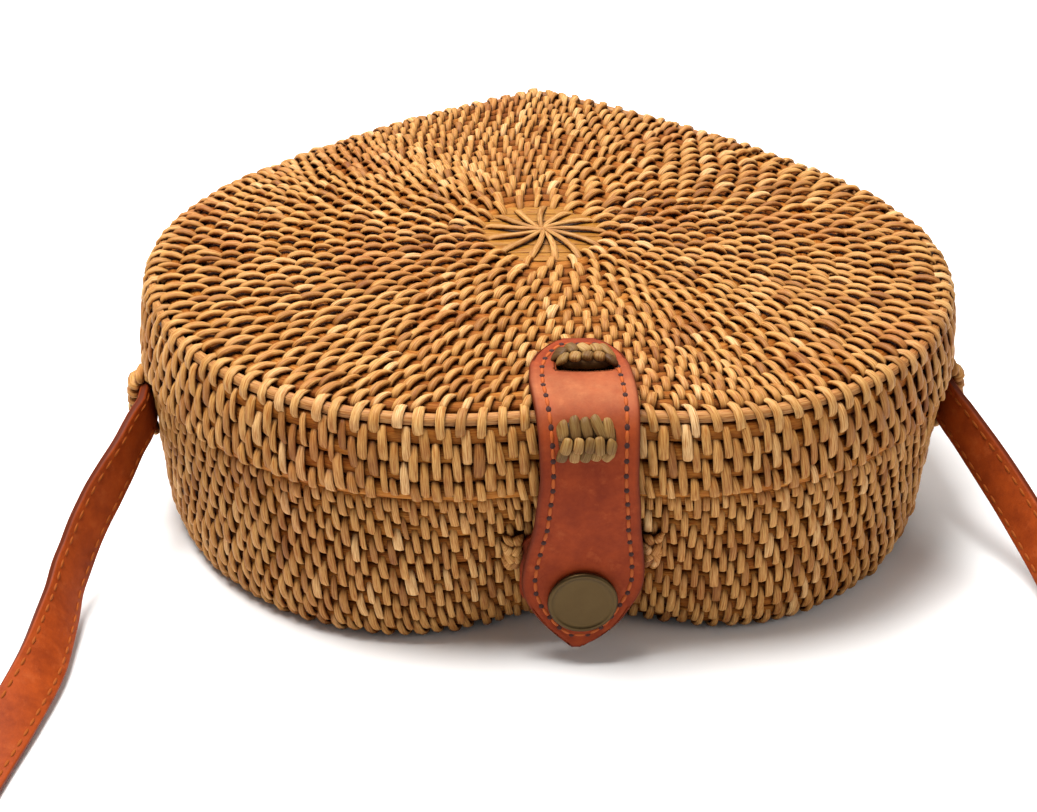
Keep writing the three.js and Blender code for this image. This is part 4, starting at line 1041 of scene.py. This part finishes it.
# Shoulder strap: a flat band of orange-brown leather, 12.6 mm wide and 2.2 mm thick.
# It leaves the ears standing on its edge, turns flat and lies on the floor in front of the bag.
# Its tails are place along Y, height and width; its runs are points with the strap's tilt.
STRAP_WIDE, STRAP_THICK = 12.6, 2.2
TAIL = ((-30.5, 35.6, 12.6), (-27, 35, 12.2), (-23, 34, 11.2), (-18, 32.8, 9.6), (-12.8, 32, 8),
        (-12, 32, 6))
LEFT_RUN = (
    (-109.4, -37.5, 34.7, 85), (-111.6, -43.2, 33, 84), (-114.2, -50, 30, 82), (-117.3, -55.9, 26.5, 78),
    (-120.3, -60.9, 22.5, 75), (-122.8, -66.2, 18.8, 72), (-124.7, -71.5, 15.2, 70),
    (-126.4, -77.6, 12.2, 66), (-127.1, -84.2, 9.8, 60), (-128, -91.7, 8.2, 52),
    (-129.6, -103.8, 6.4, 40), (-134, -121, 4.3, 24), (-140, -143, 2.3, 8),
    (-148, -185, 1.15, 0), (-150, -240, 1.15, 0), (-150, -300, 1.15, 0),
)
RIGHT_RUN = (
    (102, -37.2, 34.4, 85), (104.2, -41, 32.3, 84), (106.8, -45.4, 29.6, 82), (110.4, -51.4, 25.6, 78),
    (114, -57.8, 21.4, 75), (117.4, -65, 17.2, 71), (120.4, -73, 13.6, 66), (122.8, -82, 10.6, 60),
    (124.8, -92, 8.4, 52), (127.4, -104, 6.4, 40), (132.4, -121, 4.3, 24), (139.4, -143, 2.3, 8),
    (148, -185, 1.15, 0), (150, -240, 1.15, 0), (150, -300, 1.15, 0),
)


def wall_x(side, y, z):
    """Side wall of the base at a place along Y and a height."""
    offset = np.interp(z, (0, 3, 6.5, 11.9, 28.4, 47.1), (-7.1, -5.5, -4.2, -3.1, -1.9, 0))
    ring = heart_ring(float(offset), z)
    half = ring[ring[:, 0] * side > 0]
    order = np.argsort(np.abs(half[:, 1] - y))[:2]
    return half[order, 0].mean()


def strap_side(side, rows):
    """Strap points from the end of its tail through the ear and down to the floor."""
    tail = []
    for y, z, width in reversed(TAIL):
        tail.append((wall_x(side, y, z) + side * 1.7, y, z, 84, width))
    tail.append((wall_x(side, -30.5, 35.6) + side * 1.9, -34, 35.6, 84, STRAP_WIDE))
    return tail + [(*row, STRAP_WIDE) for row in rows]


ARC = 150
arc = [(ARC * math.cos(a), -300 + ARC * math.sin(a), 1.15, 0, STRAP_WIDE)
       for a in np.linspace(math.pi, 2 * math.pi, 20)[1:-1]]
strap_rows = strap_side(-1, LEFT_RUN) + arc + strap_side(1, RIGHT_RUN)[::-1]
strap_line, strap_length = smooth_path([(x, y, z) for x, y, z, _, _ in strap_rows], 900)
key_run = [0]
for a, b in zip(strap_rows, strap_rows[1:]):
    key_run.append(key_run[-1] + math.dist(a[:3], b[:3]))
share = np.array(key_run) / key_run[-1]
fine_share = np.linspace(0, 1, len(strap_line))
strap_tilt = np.radians(np.interp(fine_share, share, [r[3] for r in strap_rows]))
strap_wide = np.interp(fine_share, share, [r[4] for r in strap_rows])
tangent = np.gradient(strap_line, axis=0)
tangent /= np.linalg.norm(tangent, axis=1, keepdims=True)
up = np.array([0, 0, 1.0]) - tangent * tangent[:, 2:3]
up /= np.linalg.norm(up, axis=1, keepdims=True)
side_axis = np.cross(tangent, up)
wide_axis = side_axis * np.cos(strap_tilt)[:, None] + up * np.sin(strap_tilt)[:, None]
face_axis = np.cross(tangent, wide_axis)


def on_strap(place, across, height):
    """Points on the strap: share of its length, place across it and height over its middle."""
    at = np.clip(place, 0, 1) * (len(strap_line) - 1)
    steps = np.arange(len(strap_line))

    def mix(field):
        return np.stack([np.interp(at, steps, field[:, i]) for i in range(3)], -1)

    return mix(strap_line) + mix(wide_axis) * across[..., None] + mix(face_axis) * height[..., None]


STRAP_STEPS = 520
bm = bmesh.new()
bmesh.ops.create_cube(bm, size=1)
long_edges = [e for e in bm.edges if abs(e.verts[0].co.y - e.verts[1].co.y) > 0.5]
bmesh.ops.bevel(bm, geom=long_edges, offset=0.3, segments=3, profile=0.5, affect="EDGES", material=-1)
long_edges = [e for e in bm.edges if abs(e.verts[0].co.y - e.verts[1].co.y) > 0.5]
bmesh.ops.subdivide_edges(bm, edges=long_edges, cuts=STRAP_STEPS, use_grid_fill=True)
flat = np.array([v.co for v in bm.verts])
where = flat[:, 1] + 0.5
wide = np.interp(where, fine_share, strap_wide)
round_x = np.sign(flat[:, 0]) * (wide / 2 - (0.5 - np.abs(flat[:, 0])) * 2.0)
bent = on_strap(where, round_x, flat[:, 2] * STRAP_THICK)
bent[:, 2] = np.maximum(bent[:, 2], 0.02)
edge_share = np.clip((np.abs(flat[:, 0]) - 0.42) / 0.08, 0, 1)
for v, p in zip(bm.verts, bent):
    v.co = Vector(p) * 0.001
# Oiled leather: smoother and glossier than the flap, orange brown with darker cut edges.
strap_leather = leather_material(
    "oiled_orange_brown_leather", ["#7a2e0c", "#983f12", "#ad5629", "#561f08", "#b06a40"], 0.45, 0.5)
strap = solid("shoulder_strap_leather", bm, "base", strap_leather)
edge_values(strap, edge_share, edge_share * 0)
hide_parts("shoulder_strap")

# Strap stitching: waxed brown thread along both edges, on both faces, pressed flat on the floor.
# It is duller than the leather and only a little lighter.
STRAP_STITCH, STRAP_INSET = 3.6, 1.8
count = int(strap_length / STRAP_STITCH)
place = (np.arange(count) + 0.5) / count
runs = []
for edge in (-1, 1):
    for face in (-1, 1):
        t = place[:, None] + local[None, :, 2] * STRAP_STITCH * 0.74 / strap_length
        half = np.interp(place, fine_share, strap_wide)[:, None] / 2 - STRAP_INSET
        across = edge * half + local[None, :, 0] * 0.85
        height = face * STRAP_THICK / 2 + local[None, :, 1] * 0.7
        runs.append(on_strap(t, np.broadcast_to(across, t.shape), np.broadcast_to(height, t.shape)))
stitch_points = np.vstack(runs)
stitch_points[..., 2] = np.maximum(stitch_points[..., 2], 0.01)
strap_thread, _, strap_thread_shader = material("waxed_brown_thread")
strap_thread_shader.inputs["Base Color"].default_value = linear("#8f4514")
strap_thread_shader.inputs["Specular IOR Level"].default_value = 0.1
strap_thread_shader.inputs["Roughness"].default_value = 0.6
copies("strap_stitches", bead, stitch_points, stitch_points[..., :2], np.zeros(len(stitch_points)),
       "base", strap_thread)

# Hinge: three loops of twisted rattan round a cane pin at the heart's tip. They are the packed
# solids, in the lashings' dry rattan.
finish_nodes(("hinge_loop_left", "hinge_loop_right", "hinge_loop_lid", "hinge_pin"), lash_cane)

low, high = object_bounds()
